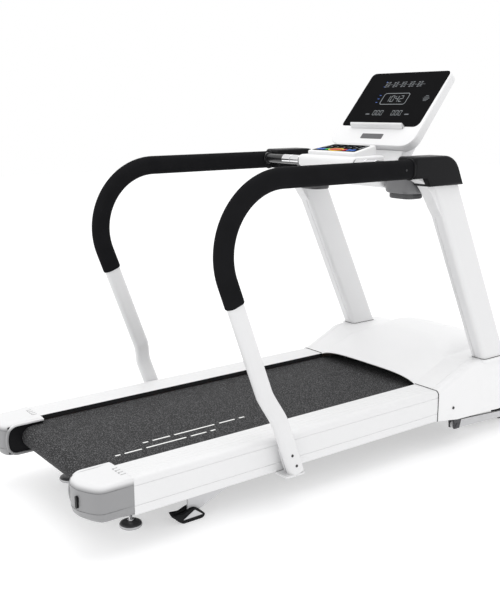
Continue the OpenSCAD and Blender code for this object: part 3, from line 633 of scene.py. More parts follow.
def turned(profile: Sequence[Sequence[float]], centre: Sequence[float], axis: int, count: int = 64,
           ) -> "tuple[Array, list]":
    """A shape turned on a lathe: radius r at height h gives centre + h * axis + r * (cos a, sin a).

    Args:
        profile: (radius, height) pairs from one end to the other.
        centre: Where height and radius are zero.
        axis: 0, 1 or 2, for X, Y or Z.
        count: Points round the axis.

    Returns:
        Vertices and faces.
    """
    p = np.asarray(profile, float)
    a = np.linspace(0, 2 * math.pi, count, endpoint=False)
    rings = np.zeros((len(p), count, 3))
    u, v = (axis + 1) % 3, (axis + 2) % 3
    rings[:, :, axis] = p[:, 1][:, None]
    rings[:, :, u] = p[:, 0][:, None] * np.cos(a)
    rings[:, :, v] = p[:, 0][:, None] * np.sin(a)
    return stitched(rings + np.asarray(centre, float))


def moved(shape: "tuple[Array, list]", matrix: Matrix) -> "tuple[Array, list]":
    """The same shape, moved by a matrix."""
    verts, faces = shape
    m = np.array(matrix)
    return verts @ m[:3, :3].T + m[:3, 3], faces


def yz_slab(outline: Array, low: float, high: float, edge: float, steps: int = 4) -> "tuple[Array, list]":
    """A slab whose outline lies in the YZ plane, carried along X."""
    verts, faces = slab(outline, low, high, edge, steps)
    return verts[:, [2, 0, 1]], faces


def xz_slab(outline: Array, low: float, high: float, edge: float, steps: int = 4) -> "tuple[Array, list]":
    """A slab whose outline lies in the XZ plane, carried along Y from low to high."""
    verts, faces = slab(outline[::-1], low, high, edge, steps)
    return verts[:, [0, 2, 1]], faces


def joined(shapes: Iterable["tuple[Array, list]"]) -> "tuple[Array, list]":
    """Several shapes as one."""
    verts, faces, base = [], [], 0
    for v, f in shapes:
        verts.append(v)
        faces.extend([[i + base for i in face] for face in f])
        base += len(v)
    return np.concatenate(verts), faces


def mirrored(shape: "tuple[Array, list]", side: Side) -> "tuple[Array, list]":
    """The shape on its side: for the left, X changes sign and each face turns round."""
    if side is Side.RIGHT:
        return shape
    verts, faces = shape
    return verts * np.array([-1.0, 1.0, 1.0]), [list(f)[::-1] for f in faces]


def piece(name: str, shape: "tuple[Array, list]", finish: str, body: str = "base",
          stands_for: Sequence[str] = (), sharp: float = 38.0) -> bpy.types.Object:
    """Make one finished piece.

    Args:
        name: The piece's name.
        shape: Vertices and faces, in place.
        finish: Name of its finish.
        body: The body that it rides on.
        stands_for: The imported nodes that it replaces.
        sharp: Edges that turn by more than this many degrees stay sharp.

    Returns:
        The object.
    """
    verts, faces = shape
    mesh = bpy.data.meshes.new(name)
    mesh.from_pydata((verts * MM).tolist(), [], faces)
    mesh.validate()
    mesh.polygons.foreach_set("use_smooth", np.ones(len(mesh.polygons), bool))
    mesh.set_sharp_from_angle(angle=math.radians(sharp))
    mesh.materials.append(WARDROBE.get(finish))
    mesh.update()
    made = bpy.data.objects.new(name, mesh)
    bpy.context.scene.collection.objects.link(made)
    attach(made, body)
    if stands_for:
        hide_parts(*stands_for)
    LOG.info("%s: %d faces on %s", name, len(mesh.polygons), body)
    return made


def shell(grid: Array, thick: float, gone: "Array | None" = None) -> "tuple[Array, list]":
    """A sheet of even thickness under a grid of points.

    The inner skin is p - thick * n, where n is the unit cross product of the grid's two directions. Faces
    where gone is true are left out, and every free edge gets a rim.

    Args:
        grid: An (n, m, 3) array; across m then along n must be anticlockwise from outside.
        thick: Thickness of the sheet.
        gone: An (n-1, m-1) array of the faces to leave out.

    Returns:
        Vertices and faces.
    """
    n, m, _ = grid.shape
    normal = np.cross(np.gradient(grid, axis=1), np.gradient(grid, axis=0))
    normal /= np.maximum(np.linalg.norm(normal, axis=2, keepdims=True), 1e-9)
    r, c = np.meshgrid(np.arange(n - 1), np.arange(m - 1), indexing="ij")
    quads = np.stack([r * m + c, r * m + c + 1, (r + 1) * m + c + 1, (r + 1) * m + c], -1)
    quads = quads.reshape(-1, 4) if gone is None else quads[~gone]
    edges = np.stack([quads, np.roll(quads, -1, 1)], -1).reshape(-1, 2)
    key = np.sort(edges, 1) @ np.array([n * m, 1])
    _, index, count = np.unique(key, return_index=True, return_counts=True)
    free = edges[index[count == 1]]
    rim = np.column_stack([free[:, 1], free[:, 0], free[:, 0] + n * m, free[:, 1] + n * m])
    faces = np.concatenate([quads, quads[:, ::-1] + n * m, rim])
    skin = np.concatenate([grid.reshape(-1, 3), (grid - thick * normal).reshape(-1, 3)])
    used, fresh = np.unique(faces, return_inverse=True)
    return skin[used], fresh.reshape(-1, 4).tolist()


def smooth_line(points: Sequence[Sequence[float]], count: int, passes: int) -> Array:
    """A line at even steps through points, softened by averaging each point with its neighbours."""
    p = np.asarray(points, float)
    run = np.concatenate([[0], np.cumsum(np.linalg.norm(np.diff(p, axis=0), axis=1))])
    at = np.linspace(0, run[-1], count)
    line = np.column_stack([np.interp(at, run, p[:, i]) for i in range(p.shape[1])])
    for _ in range(passes):
        line[1:-1] = (line[:-2] + 2 * line[1:-1] + line[2:]) / 4
    return line


def ease(t: "Array | float") -> Array:
    """Smooth step: 3 t^2 - 2 t^3, with t held from zero to one."""
    t = np.clip(t, 0.0, 1.0)
    return t * t * (3 - 2 * t)


def box_outline(width: float, depth: float, radius: float, steps: int = 8) -> Array:
    """A centred rectangle with round corners, anticlockwise."""
    w, d = width / 2 - radius, depth / 2 - radius
    corners = [((w, d), 0), ((-w, d), 90), ((-w, -d), 180), ((w, -d), 270)]
    return np.concatenate([arc(c, radius, a, a + 90, steps) for c, a in corners])


def oval_outline(length: float, thick: float, steps: int = 14) -> Array:
    """A flat oval with its long side on the second axis."""
    half = (length - thick) / 2
    return np.concatenate([arc((0, half), thick / 2, 0, 180, steps), arc((0, -half), thick / 2, 180, 360,
                                                                         steps)])


def corners(x0: float, y0: float, x1: float, y1: float) -> "list[tuple[float, float]]":
    """The corners of an upright rectangle, anticlockwise from the lower left."""
    return [(x0, y0), (x1, y0), (x1, y1), (x0, y1)]


def heading(path: Array) -> Array:
    """Unit direction at each point of a closed path, from its two neighbours."""
    ahead = np.roll(path, -1, 0) - np.roll(path, 1, 0)
    return ahead / np.linalg.norm(ahead, axis=1, keepdims=True)


def pair(shape: "tuple[Array, list]") -> "tuple[Array, list]":
    """A shape on both sides of the machine, as one."""
    return joined([mirrored(shape, side) for side in Side])


# ---- sub-assemblies --------------------------------------------------------


@dataclass
class Deck:
    """Running belt, foot rails and rear end caps; sizes in millimetres."""

    rail_in: float = 280.0
    rail_out: float = 401.0
    rail_top: float = 247.0
    rail_bottom: float = 128.0
    y_cap: float = -903.0
    y_seam: float = 426.0
    corner: float = 16.0
    belt_half: float = 277.0
    belt_thick: float = 2.0
    axle_z: float = 188.0
    roller: float = 38.0
    rear_y: float = -944.0
    front_y: float = 616.0

    def build(self) -> None:
        """Make the belt and, on each side, the rail and its end cap."""
        self.belt()
        for side in Side:
            self.rail(side)
            self.cap(side)
            self.trims(side)

    def belt(self) -> None:
        """A closed band: a thin rounded profile carried round both rollers."""
        reach = self.roller + self.belt_thick / 2 + 0.2
        rear = arc((self.rear_y, self.axle_z), reach, 90, 270, 40)
        front = arc((self.front_y, self.axle_z), reach, -90, 90, 40)
        low = np.column_stack([np.linspace(self.rear_y, self.front_y, 62)[1:-1], np.full(60,
            self.axle_z - reach)])
        path = np.concatenate([rear, low, front, low[::-1] + [0, 2 * reach]])
        ahead = heading(path)
        centres = np.column_stack([np.zeros(len(path)), path])
        across = np.tile([1.0, 0.0, 0.0], (len(path), 1))
        out = np.column_stack([np.zeros(len(path)), ahead[:, 1], -ahead[:, 0]])
        profile = box_outline(2 * self.belt_half, self.belt_thick - 0.2, 0.8, 3)
        shape = carried(profile, centres, across, out, closed=True, capped=False)
        piece("belt_surface", shape, "belt_pvc", stands_for=["running_belt"])

    def rail(self, side: Side) -> None:
        """The extruded section: fine ribs on top, two grooves down the outer wall."""
        w, h = self.rail_out - self.rail_in, self.rail_top - self.rail_bottom
        ribs = [(w - 32 - 20 * i - 1.5 * j, 0.0 if j % 2 == 0 else -0.9) for i in range(4) for j in range(3)]
        wall = [(w, -h), (w, -91.2), (w - 1.6, -90.8), (w - 1.6, -88.2), (w, -87.8), (w, -27.2), (w - 1.6,
            -26.8),
                (w - 1.6, -24.2), (w, -23.8)]
        outline = np.concatenate([
            [(1.0, -0.3), (0, -1.2), (0, -17), (3, -17), (3, -5), (w - 21, -5)],
            arc((w - 20, -20), 15.0, 90, 0, 6),
            [(w - 5, -h + 4), (w - 56, -h + 4), (w - 56, -h), (w - 1, -h)],
            wall,
            arc((w - self.corner, -self.corner), self.corner, 0, 90, 10),
            ribs,
        ])
        verts, faces = xz_slab(outline + [self.rail_in, self.rail_top], self.y_cap, self.y_seam - 0.4, 0.3, 1)
        piece(f"foot_rail_{side.word}", mirrored((verts, faces), side), "rail_alu",
              stands_for=[f"rail_{side.word}"], sharp=30)

    def trims(self, side: Side) -> None:
        """Black sheet over the rail's inner wall, painted shade where that wall is only in shadow above the
        belt, and the dark gasket between the rail and the front body.
        """
        wall = corners(self.y_cap, 229.6, self.y_seam, 245.4)
        # painted shade: a black rubber sheet laid over the rail's inner wall above the belt
        strip = yz_slab(np.array(wall), self.rail_in - 1.6, self.rail_in + 0.1, 0.4, 2)
        top, out, low = self.rail_top + 1.3, self.rail_out + 1.3, self.rail_bottom - 1.3
        outline = np.concatenate([[(self.rail_in, low), (out, low)], arc((out - 17, top - 17), 17, 0, 90, 10),
                                  [(self.rail_in, top)]])
        gasket = xz_slab(outline, self.y_seam - 0.3, self.y_seam + 2.0, 0.5, 2)
        piece(f"rail_trim_{side.word}", mirrored(joined([strip, gasket]), side), "rubber")

    def cap_ring(self, z: float, inward: float) -> Array:
        """Plan outline of the end cap at one height; the rear bulges by 12 * (1 - ((z - 190) / 58)^2)."""
        bulge = 12.0 * (1 - ((z - 190.0) / 58.0) ** 2)
        rear = smooth_line([(254, -1026), (262, -1039), (284, -1047.5), (325, -1046), (363, -1032),
                            (388, -1019), (399, -1008), (400.6, -990)], 32, 3)
        rear[:, 1] -= bulge * np.sin(np.clip((rear[:, 0] - 244) / 156, 0, 1) * math.pi) ** 0.6
        front = [(self.rail_out - 0.4, self.y_cap + 0.4), (254, self.y_cap + 0.4), (254, -960)]
        ring = np.concatenate([front, rear, [(self.rail_out - 0.4, -950)]])
        weight = np.ones(len(ring))
        weight[:2] = 0.0
        return inset(ring, inward * weight)

    def cap(self, side: Side) -> None:
        """Rounded end cap: rings from the bottom to the top, drawn in at the edges and at the grooves."""
        round_top, top, low = 13.0, self.rail_top, 131.0
        a = np.radians(np.linspace(0, 90, 8))
        levels = [(low, 8.0), (low + 1.5, 5.0), (low + 5, 1.6), (low + 10, 0)]
        for z in (160.0, 225.0):
            levels += [(z - 1.6, 0.0), (z - 1.1, 1.5), (z + 1.1, 1.5), (z + 1.6, 0.0)]
        levels += [(top - round_top * (1 - math.sin(t)), round_top * (1 - math.cos(t))) for t in a]
        levels += [(top, round_top + 3.0)]
        rings = np.array([np.column_stack([self.cap_ring(z, d), np.full(36, z)]) for z, d in levels])
        ticks = [slab(rounded(corners(x, self.y_cap - 20, x + 3, self.y_cap - 2),
                              1), top - 2, top + 0.5, 0.2, 2) for x in (300.0, 318.0, 336.0, 354.0)]
        ticks += [slab(rounded(corners(x, self.y_cap - 20, x + 11, self.y_cap - 17.4), 0.8), top - 2,
                       top + 0.45, 0.2, 2) for x in (301.0, 319.0, 337.0)]
        rim = smooth_line([(self.y_cap, 242), (-1014, 242), (-1034, 226), (-1041, 192), (-1036, 154), (-1016,
            137),
                           (self.y_cap, 137)], 60, 4)
        ahead = np.gradient(rim, axis=0)
        ahead /= np.linalg.norm(ahead, axis=1, keepdims=True)
        centres = np.column_stack([np.full(60, 249.5), rim])
        out = np.column_stack([np.zeros(60), -ahead[:, 1], ahead[:, 0]])
        band = carried(box_outline(11, 8, 2, 4), centres, np.tile([1.0, 0, 0], (60, 1)), -out)
        piece(f"end_cap_{side.word}_moulding", mirrored(joined([stitched(rings), band]), side), "cap_plastic",
              stands_for=[f"end_cap_{side.word}"], sharp=35)
        # painted shade: the black plate inside the rim, under the cap's top, and the black oval at the slot
        # stand in for the shadow there
        web = yz_slab(corners(self.y_cap, 140, -1034, 238)[::-1], 251.5, 254.4, 0.3, 1)
        piece(f"end_cap_{side.word}_ticks", mirrored(joined(ticks), side), "ink_grey")
        cap_slot_shade = xz_slab(oval_outline(39, 12) + [328, 186.5], -1058.5, -1040, 0.3)
        piece(f"end_cap_{side.word}_slot", mirrored(joined([cap_slot_shade, web]), side), "black_plastic")


@dataclass
class FrontBody:
    """Dome, wings and side covers over the motor; sizes in millimetres."""

    y_seam: float = 426.0
    y_nose: float = 1059.5
    dome_foot: float = 277.0
    half: float = 405.0
    split: float = 371.0
    edge: float = 18.0
    bottom: float = 118.0

    def build(self) -> None:
        """Make the hood, the two covers and the trim round the mains inlet."""
        xs = np.unique(np.concatenate([np.linspace(-self.split + 0.4, self.split - 0.4, 118), [-262.0,
            -138.0]]))
        grid = self.surface(xs)
        centre = (grid[:-1, :-1] + grid[1:, 1:]) / 2
        gone = ((centre[..., 0] > -262) & (centre[..., 0] < -138) & (centre[..., 1] > 1000)
                & (centre[..., 2] > 137) & (centre[..., 2] < 184))
        hood = shell(grid, 3.0, gone)
        piece("hood_moulding", hood, "white_plastic", stands_for=["hood"], sharp=50)
        self.lip()
        self.inlet_trim()
        for side in Side:
            self.cover(side)

    def wing_line(self, count: int) -> Array:
        """Side view of the wings' top, from the seam over the nose to the bottom."""
        nose = arc((self.y_nose - 190, 140), 190, 90, 8, 10)
        return smooth_line([(self.y_seam, 247), (440, 254), (613, 329), (700, 332), (860, 331), *nose,
                            (self.y_nose, self.bottom)], count, 6)

    def dome_line(self, count: int) -> Array:
        """Side view of the dome's top, from the rear lip over the nose to the bottom."""
        nose = arc((self.y_nose - 255, 130), 255, 88, 5, 10)
        return smooth_line([(self.y_seam, 271), (620, 338), (700, 368), (797, 384), *nose,
                            (self.y_nose, self.bottom)], count, 3)

    def surface(self, xs: Array, count: int = 130) -> Array:
        """Top skin as a grid.

        At x the side view is wing + (dome - wing) * (1 - |x / foot|^4)^0.8 inside the dome's foot line, and
        the wing, dipping by 10 mm towards the dome, outside it. Beyond y 860 the depth is scaled so that it
        ends on the plan's round front corners.

        Args:
            xs: Places across the machine.
            count: Places along the side view.

        Returns:
            A (count, len(xs), 3) array.
        """
        wing, dome = self.wing_line(count), self.dome_line(count)
        foot = self.dome_foot - 0.08 * np.clip(wing[:, :1] - self.y_seam, 0, 320)
        t = np.clip(np.abs(xs)[None] / foot, 0, 1)
        share = (1 - t**4) ** 0.8
        y = wing[:, :1] + (dome[:, :1] - wing[:, :1]) * share
        z = wing[:, 1:] + (dome[:, 1:] - wing[:, 1:]) * share
        valley = ease((395 - np.abs(xs)[None]) / 150) * ease((wing[:, :1] - 450) / 150) * (1 - share)
        z = z - 10 * valley * ease((z - 200) / 80)
        over = np.clip((np.abs(xs) - (self.half - 160)) / 160, 0, 0.999)
        limit = self.y_nose - 160 + 160 * np.sqrt(1 - over**2)
        y = np.where(y > 860, 860 + (y - 860) * ((limit[None] - 860) / (self.y_nose - 860)), y)
        x = np.broadcast_to(xs[None], y.shape) * (1 - 0.01 * (1 - ease((y - self.y_seam) / 214)))
        return np.stack([x, y, z], -1)

    def cover(self, side: Side) -> None:
        """Side cover: the wing's outer strip, a rounded edge, then the wall down to the bottom line."""
        top = self.surface(np.concatenate([np.linspace(self.split + 0.4, self.half - self.edge, 6),
                                           [self.half - 1.0]]))
        strip, last = top[:, :-1], top[:, -1]
        a = np.radians(np.linspace(0, 90, 8))[1:]
        crown = strip[:, -1:]
        drop = np.minimum(self.edge, np.maximum(crown[..., 2] - self.bottom - 1, 0.5))
        curve = np.stack([
            crown[..., 0] + (self.half - self.edge / 2 - crown[..., 0] + self.edge / 2) * np.sin(a)[None],
            crown[..., 1] + (last[:, None, 1] - crown[..., 1]) * np.sin(a)[None],
            crown[..., 2] - drop * (1 - np.cos(a))[None]], -1)
        low = np.interp(last[:, 1], [433, 541, 784, 900], [125, 110, 104, 112])
        down = np.linspace(0, 1, 26)[None, 1:]
        z = curve[:, -1:, 2] + (np.minimum(low, curve[:, -1, 2] - 0.8)[:, None] - curve[:, -1:, 2]) * down
        wall = np.stack([np.broadcast_to(curve[:, -1:, 0], z.shape), np.broadcast_to(curve[:, -1:, 1],
            z.shape), z], -1)
        grid = np.concatenate([strip, curve, wall], 1)
        rear = 1 - 0.01 * (1 - ease((grid[..., 1] - self.y_seam) / 214))
        grid[:, 6:, 0] = grid[:, 6:, 0] * rear[:, 6:]
        grid[..., 0] += 6.0 * np.exp(-((grid[..., 1] - 746 - (330 - grid[...,
                                                                         2]) * 0.4674) / 98) ** 4) * ease(
            (grid[..., 0] - 385) / 16)
        piece(f"side_cover_{side.word}_moulding", mirrored(shell(grid, 3.0), side), "white_plastic",
              stands_for=[f"side_cover_{side.word}"], sharp=50)

    def lip(self) -> None:
        """Black sheet under the hood's rear lip, where the belt runs in: painted shade for the dark gap under
        the lip.
        """
        x = np.linspace(-276, 276, 60)
        top = 247 + 22.5 * (1 - (x / 277) ** 2) ** 0.8
        grid = np.stack([np.column_stack([x, np.full(60, 520.0), np.full(60, 230.5)]),
                         np.column_stack([x, np.full(60, 520.0), top + 12])])
        piece("belt_slot_shade", shell(grid, 2.0), "black_plastic")

    def inlet_trim(self) -> None:
        """Frame round the mains inlet: a rounded bead carried round the opening."""
        path = box_outline(126, 48, 6, 6) + [-200, 160.5]
        ahead = heading(path)
        centres = np.column_stack([path[:, 0], np.full(len(path), self.y_nose - 2), path[:, 1]])
        out = np.column_stack([ahead[:, 1], np.zeros(len(path)), -ahead[:, 0]])
        depth = np.tile([0.0, 1.0, 0.0], (len(path), 1))
        bead = carried(box_outline(7, 8, 2.2, 3), centres, out, depth, closed=True, capped=False)
        piece("inlet_trim", bead, "black_plastic")


@dataclass
class Mast:
    """Leaning mast with its gusset, base gasket and black elbow; sizes in millimetres."""

    x: float = 375.5
    thick: float = 67.0
    depth: float = 122.0
    corner: float = 15.0
    lean: float = math.radians(25.0)
    base_y: float = 746.0
    base_z: float = 330.0
    low: float = 150.0
    high: float = 1096.0
    groove_in: float = 23.0
    web_x: "tuple[float, float]" = (350.0, 401.0)
    elbow_x: "tuple[float, float]" = (337.5, 428.5)

    def middle(self, z: Array) -> Array:
        """Centre line's y at height z."""
        return self.base_y + (self.base_z - z) * math.tan(self.lean)

    def column(self, outline: Array, low: float, high: float, count: int) -> "tuple[Array, list]":
        """An outline carried up the mast and cut level, so that depths are divided by cos(lean)."""
        z = np.linspace(low, high, count)
        centres = np.column_stack([np.full(count, self.x), self.middle(z), z])
        first = np.tile([1.0, 0.0, 0.0], (count, 1))
        second = np.tile([0.0, 1 / math.cos(self.lean), 0.0], (count, 1))
        return carried(outline, centres, first, second)

    def build(self, side: Side) -> None:
        """Make the mast, its web, the gasket at its base and the elbow over its top."""
        self.column_piece(side)
        ring = box_outline(self.thick + 2.4, self.depth + 2.4, self.corner + 1, 8)
        gasket = self.column(ring, self.base_z - 4, self.base_z + 2.2, 3)
        piece(f"mast_gasket_{side.word}", mirrored(gasket, side), "rubber")
        wide = box_outline(self.thick + 18, self.depth + 22, self.corner + 7, 8)
        flange = self.column(wide, self.base_z - 12, self.base_z + 0.4, 3)
        piece(f"mast_flange_{side.word}", mirrored(flange, side), "white_plastic")
        self.elbow(side)

    def column_piece(self, side: Side) -> None:
        """Rounded section with a fine groove down its rear face, and the concave web under the handrail."""
        outline = box_outline(self.thick, self.depth, self.corner, 8)
        groove = -self.thick / 2 + self.groove_in
        rear = -self.depth / 2
        at = int(np.argmax(outline[:, 1] < rear + 0.001)) + 1
        notch = [(groove - 1.6, rear), (groove - 1.2, rear + 2.4), (groove + 1.2, rear + 2.4), (groove + 1.6,
            rear)]
        outline = np.insert(outline, at, notch, axis=0)
        post = self.column(outline, self.low, self.high, 40)
        curve = smooth_line([(264, 1062), (290, 1056), (311, 1044), (329, 1027), (346, 1005), (362, 980),
                             (382, 948),
                             (404, 920)], 28, 3)
        web = yz_slab(np.concatenate([curve, [(434, 920), (372, 1068), (264, 1068)]]), *self.web_x, 1.6)
        piece(f"mast_{side.word}_tube", mirrored(joined([post, web]), side), "white_paint",
              stands_for=[f"mast_{side.word}"])

    def elbow(self, side: Side) -> None:
        """Black elbow: side outline with a broad round front, rounded all along its edges."""
        outline = np.concatenate([
            [(226, 1068)], arc((240, 1130.5), 14, 180, 90, 6),
            arc((383, 1060.5), 84, 90, 25, 16), [(486, 1037), (313, 1037), (291, 1068)]])
        body = yz_slab(outline[::-1], *self.elbow_x, 10, 7)
        collar = self.collar_ring()
        piece(f"mast_cap_{side.word}_elbow", mirrored(body, side), "black_plastic",
              stands_for=[f"mast_cap_{side.word}"], sharp=45)
        piece(f"mast_cap_{side.word}_collar", mirrored(collar, side), "black_plastic")

    def collar_ring(self) -> "tuple[Array, list]":
        """Ring between the elbow and the grip: an oval carried back and drawn in at each end."""
        rings = []
        for y, grow in ((230, 0), (225.9, 1.0), (222.4, 1.0), (221.2, 0.2), (220.6, -2.0)):
            ring = oval_outline(75 + 2 * grow, 53 + 2 * grow, 18)
            rings.append(np.column_stack([ring[:, 0] + 401, np.full(len(ring), float(y)), ring[:,
                1] + 1101.5]))
        return stitched(np.array(rings))


@dataclass
class Handrail:
    """Long curved handrail, its foam grip and the plates at its foot; sizes in millimetres."""

    x: float = 401.0
    z: float = 1101.5
    radius: float = 231.0
    bend_y: float = -340.0
    lean: float = math.radians(20.0)
    front: float = 300.0
    long: float = 61.0
    thin: float = 38.0
    grip: float = 4.0
    grip_front: float = 225.6
    grip_tail: float = 75.0
    foot_z: float = 127.0
    jog: float = 40.0
    jog_z: "tuple[float, float]" = (402.5, 318.5)

    def line(self, y_start: float, tail: "float | None") -> "tuple[Array, Array]":
        """Centre line from y_start round the bend, and its outward direction in the side view.

        With tail set, the line stops that far down the leg; else it steps out by the jog and ends at the
        foot. The step is jog * (1 - cos(pi s)) / 2, with s from 0 to 1 between the step's two heights.

        Args:
            y_start: Where the straight part starts.
            tail: Length of leg to keep, or None for all of it.

        Returns:
            Centres and outward unit vectors.
        """
        low = np.array([self.bend_y, self.z - self.radius])
        turn = np.radians(np.linspace(90, 180 + math.degrees(self.lean), 56))
        straight = np.linspace(y_start, self.bend_y, 24)[:-1]
        bend = low + self.radius * np.column_stack([np.cos(turn), np.sin(turn)])
        along = np.array([math.sin(self.lean), -math.cos(self.lean)])
        whole = (bend[-1, 1] - self.foot_z) / math.cos(self.lean)
        steps = np.linspace(0, whole if tail is None else tail, 90 if tail is None else 10)[1:]
        leg = bend[-1] + steps[:, None] * along
        yz = np.concatenate([np.column_stack([straight, np.full(23, self.z)]), bend, leg])
        out = np.concatenate([np.tile([0.0, 1.0], (23, 1)), np.column_stack([np.cos(turn), np.sin(turn)]),
                              np.tile([-math.cos(self.lean), -math.sin(self.lean)], (len(leg), 1))])
        s = ease((self.jog_z[0] + 10 - yz[:, 1]) / (self.jog_z[0] - self.jog_z[1] + 20))
        x = self.x + self.jog * s * (1.0 if tail is None else 0.0)
        return np.column_stack([x, yz]), np.column_stack([np.zeros(len(yz)), out])

    def build(self, side: Side) -> None:
        """Make the tube and the grip."""
        centres, out = self.line(self.front, None)
        across = np.tile([1.0, 0.0, 0.0], (len(centres), 1))
        tube = carried(oval_outline(self.long, self.thin, 16), centres, across, out)
        piece(f"handrail_{side.word}_tube", mirrored(tube, side), "white_paint",
              stands_for=[f"handrail_{side.word}"])
        self.grip_piece(side)

    def grip_piece(self, side: Side) -> None:
        """Foam sleeve, drawn in over a quarter circle at each end."""
        centres, out = self.line(self.grip_front, self.grip_tail)
        ahead = centres[-1] - centres[-2]
        ahead /= np.linalg.norm(ahead)
        a = np.radians(np.linspace(0, 90, 6))[1:]
        centres = np.concatenate([centres, centres[-1] + 3.5 * np.sin(a)[:, None] * ahead])
        out = np.concatenate([out, np.tile(out[-1], (5, 1))])
        shrink = np.concatenate([np.zeros(len(centres) - 5), 3.5 * (1 - np.cos(a))])
        outer = oval_outline(self.long + 2 * self.grip, self.thin + 2 * self.grip, 20)
        unit = outer / np.linalg.norm(outer, axis=1, keepdims=True)
        rings = []
        for centre, direction, less in zip(centres, out, shrink):
            flat = outer - unit * less
            rings.append(centre + flat[:, :1] * np.array([1.0, 0, 0]) + flat[:, 1:] * direction)
        piece(f"grip_{side.word}_foam", mirrored(stitched(np.array(rings)), side), "grip_foam",
              stands_for=[f"grip_{side.word}"], sharp=60)

    def feet(self) -> None:
        """Both rails' base plates with their inner cheeks."""
        plate = slab(rounded(corners(330, -368, 460, -288), 10), 121, 126.5, 1.4)
        cheek = yz_slab(rounded([(-342, 124), (-280, 124), (-320, 215), (-372, 215)], 9), 415.5, 421.6, 1.2)
        piece("handrail_feet_plates", pair(joined([plate, cheek])), "white_paint",
              stands_for=["handrail_feet"])


@dataclass
class Fasteners:
    """Rail bolts, cover screws, grip screws and mast bolts; sizes in millimetres."""

    lean: float = math.radians(25.0)
    rail_face: float = 459.8
    cover_face: float = 401.6
    grip_face: float = 423.6
    shelf_face: float = 326.5

    def build(self) -> None:
        """Make one side's set, mirror it and join the two."""
        dome = [(0.01, 0), (5.0, 0), (4.9, 1.1), (4.2, 1.9), (2.8, 2.1), (2.4, 0.8), (0.01, 0.8)]
        wide = [(0.01, 0), (4.4, 0), (5.6, 0.8), (6, 2.0), (5.6, 3.0), (3.2, 3.2), (2.6, 1.2), (0.01, 1.2)]
        small = [(0.01, 0), (3.6, 0), (4.2, 0.5), (4.0, 1.2), (2.4, 1.5), (1.8, 0.8), (0.01, 0.8)]
        long = [(0.01, 0), (8.2, 0), (9, 1.0), (9, 6.0), (8, 6.9), (4.8, 6.9), (4.8, 22), (4.0, 23), (0.01,
            23)]
        made = [
            turned(dome, (self.rail_face, -345 + (197 - z) * math.tan(self.lean), z), 0, 40) for z in (197.0,
                157.0)]
        made.append(turned(wide, (self.cover_face, 515, 163), 0, 36))
        made.append(turned(small, (self.grip_face, 186, 1101.5), 0, 32))
        made += [turned(long, (self.shelf_face, 746 + (330 - z) * math.tan(self.lean), z), 0, 32)
                 for z in (205.0, 255.0)]
        piece("bolts_and_screws", pair(joined(made)), "motor_black", stands_for=["fasteners"])


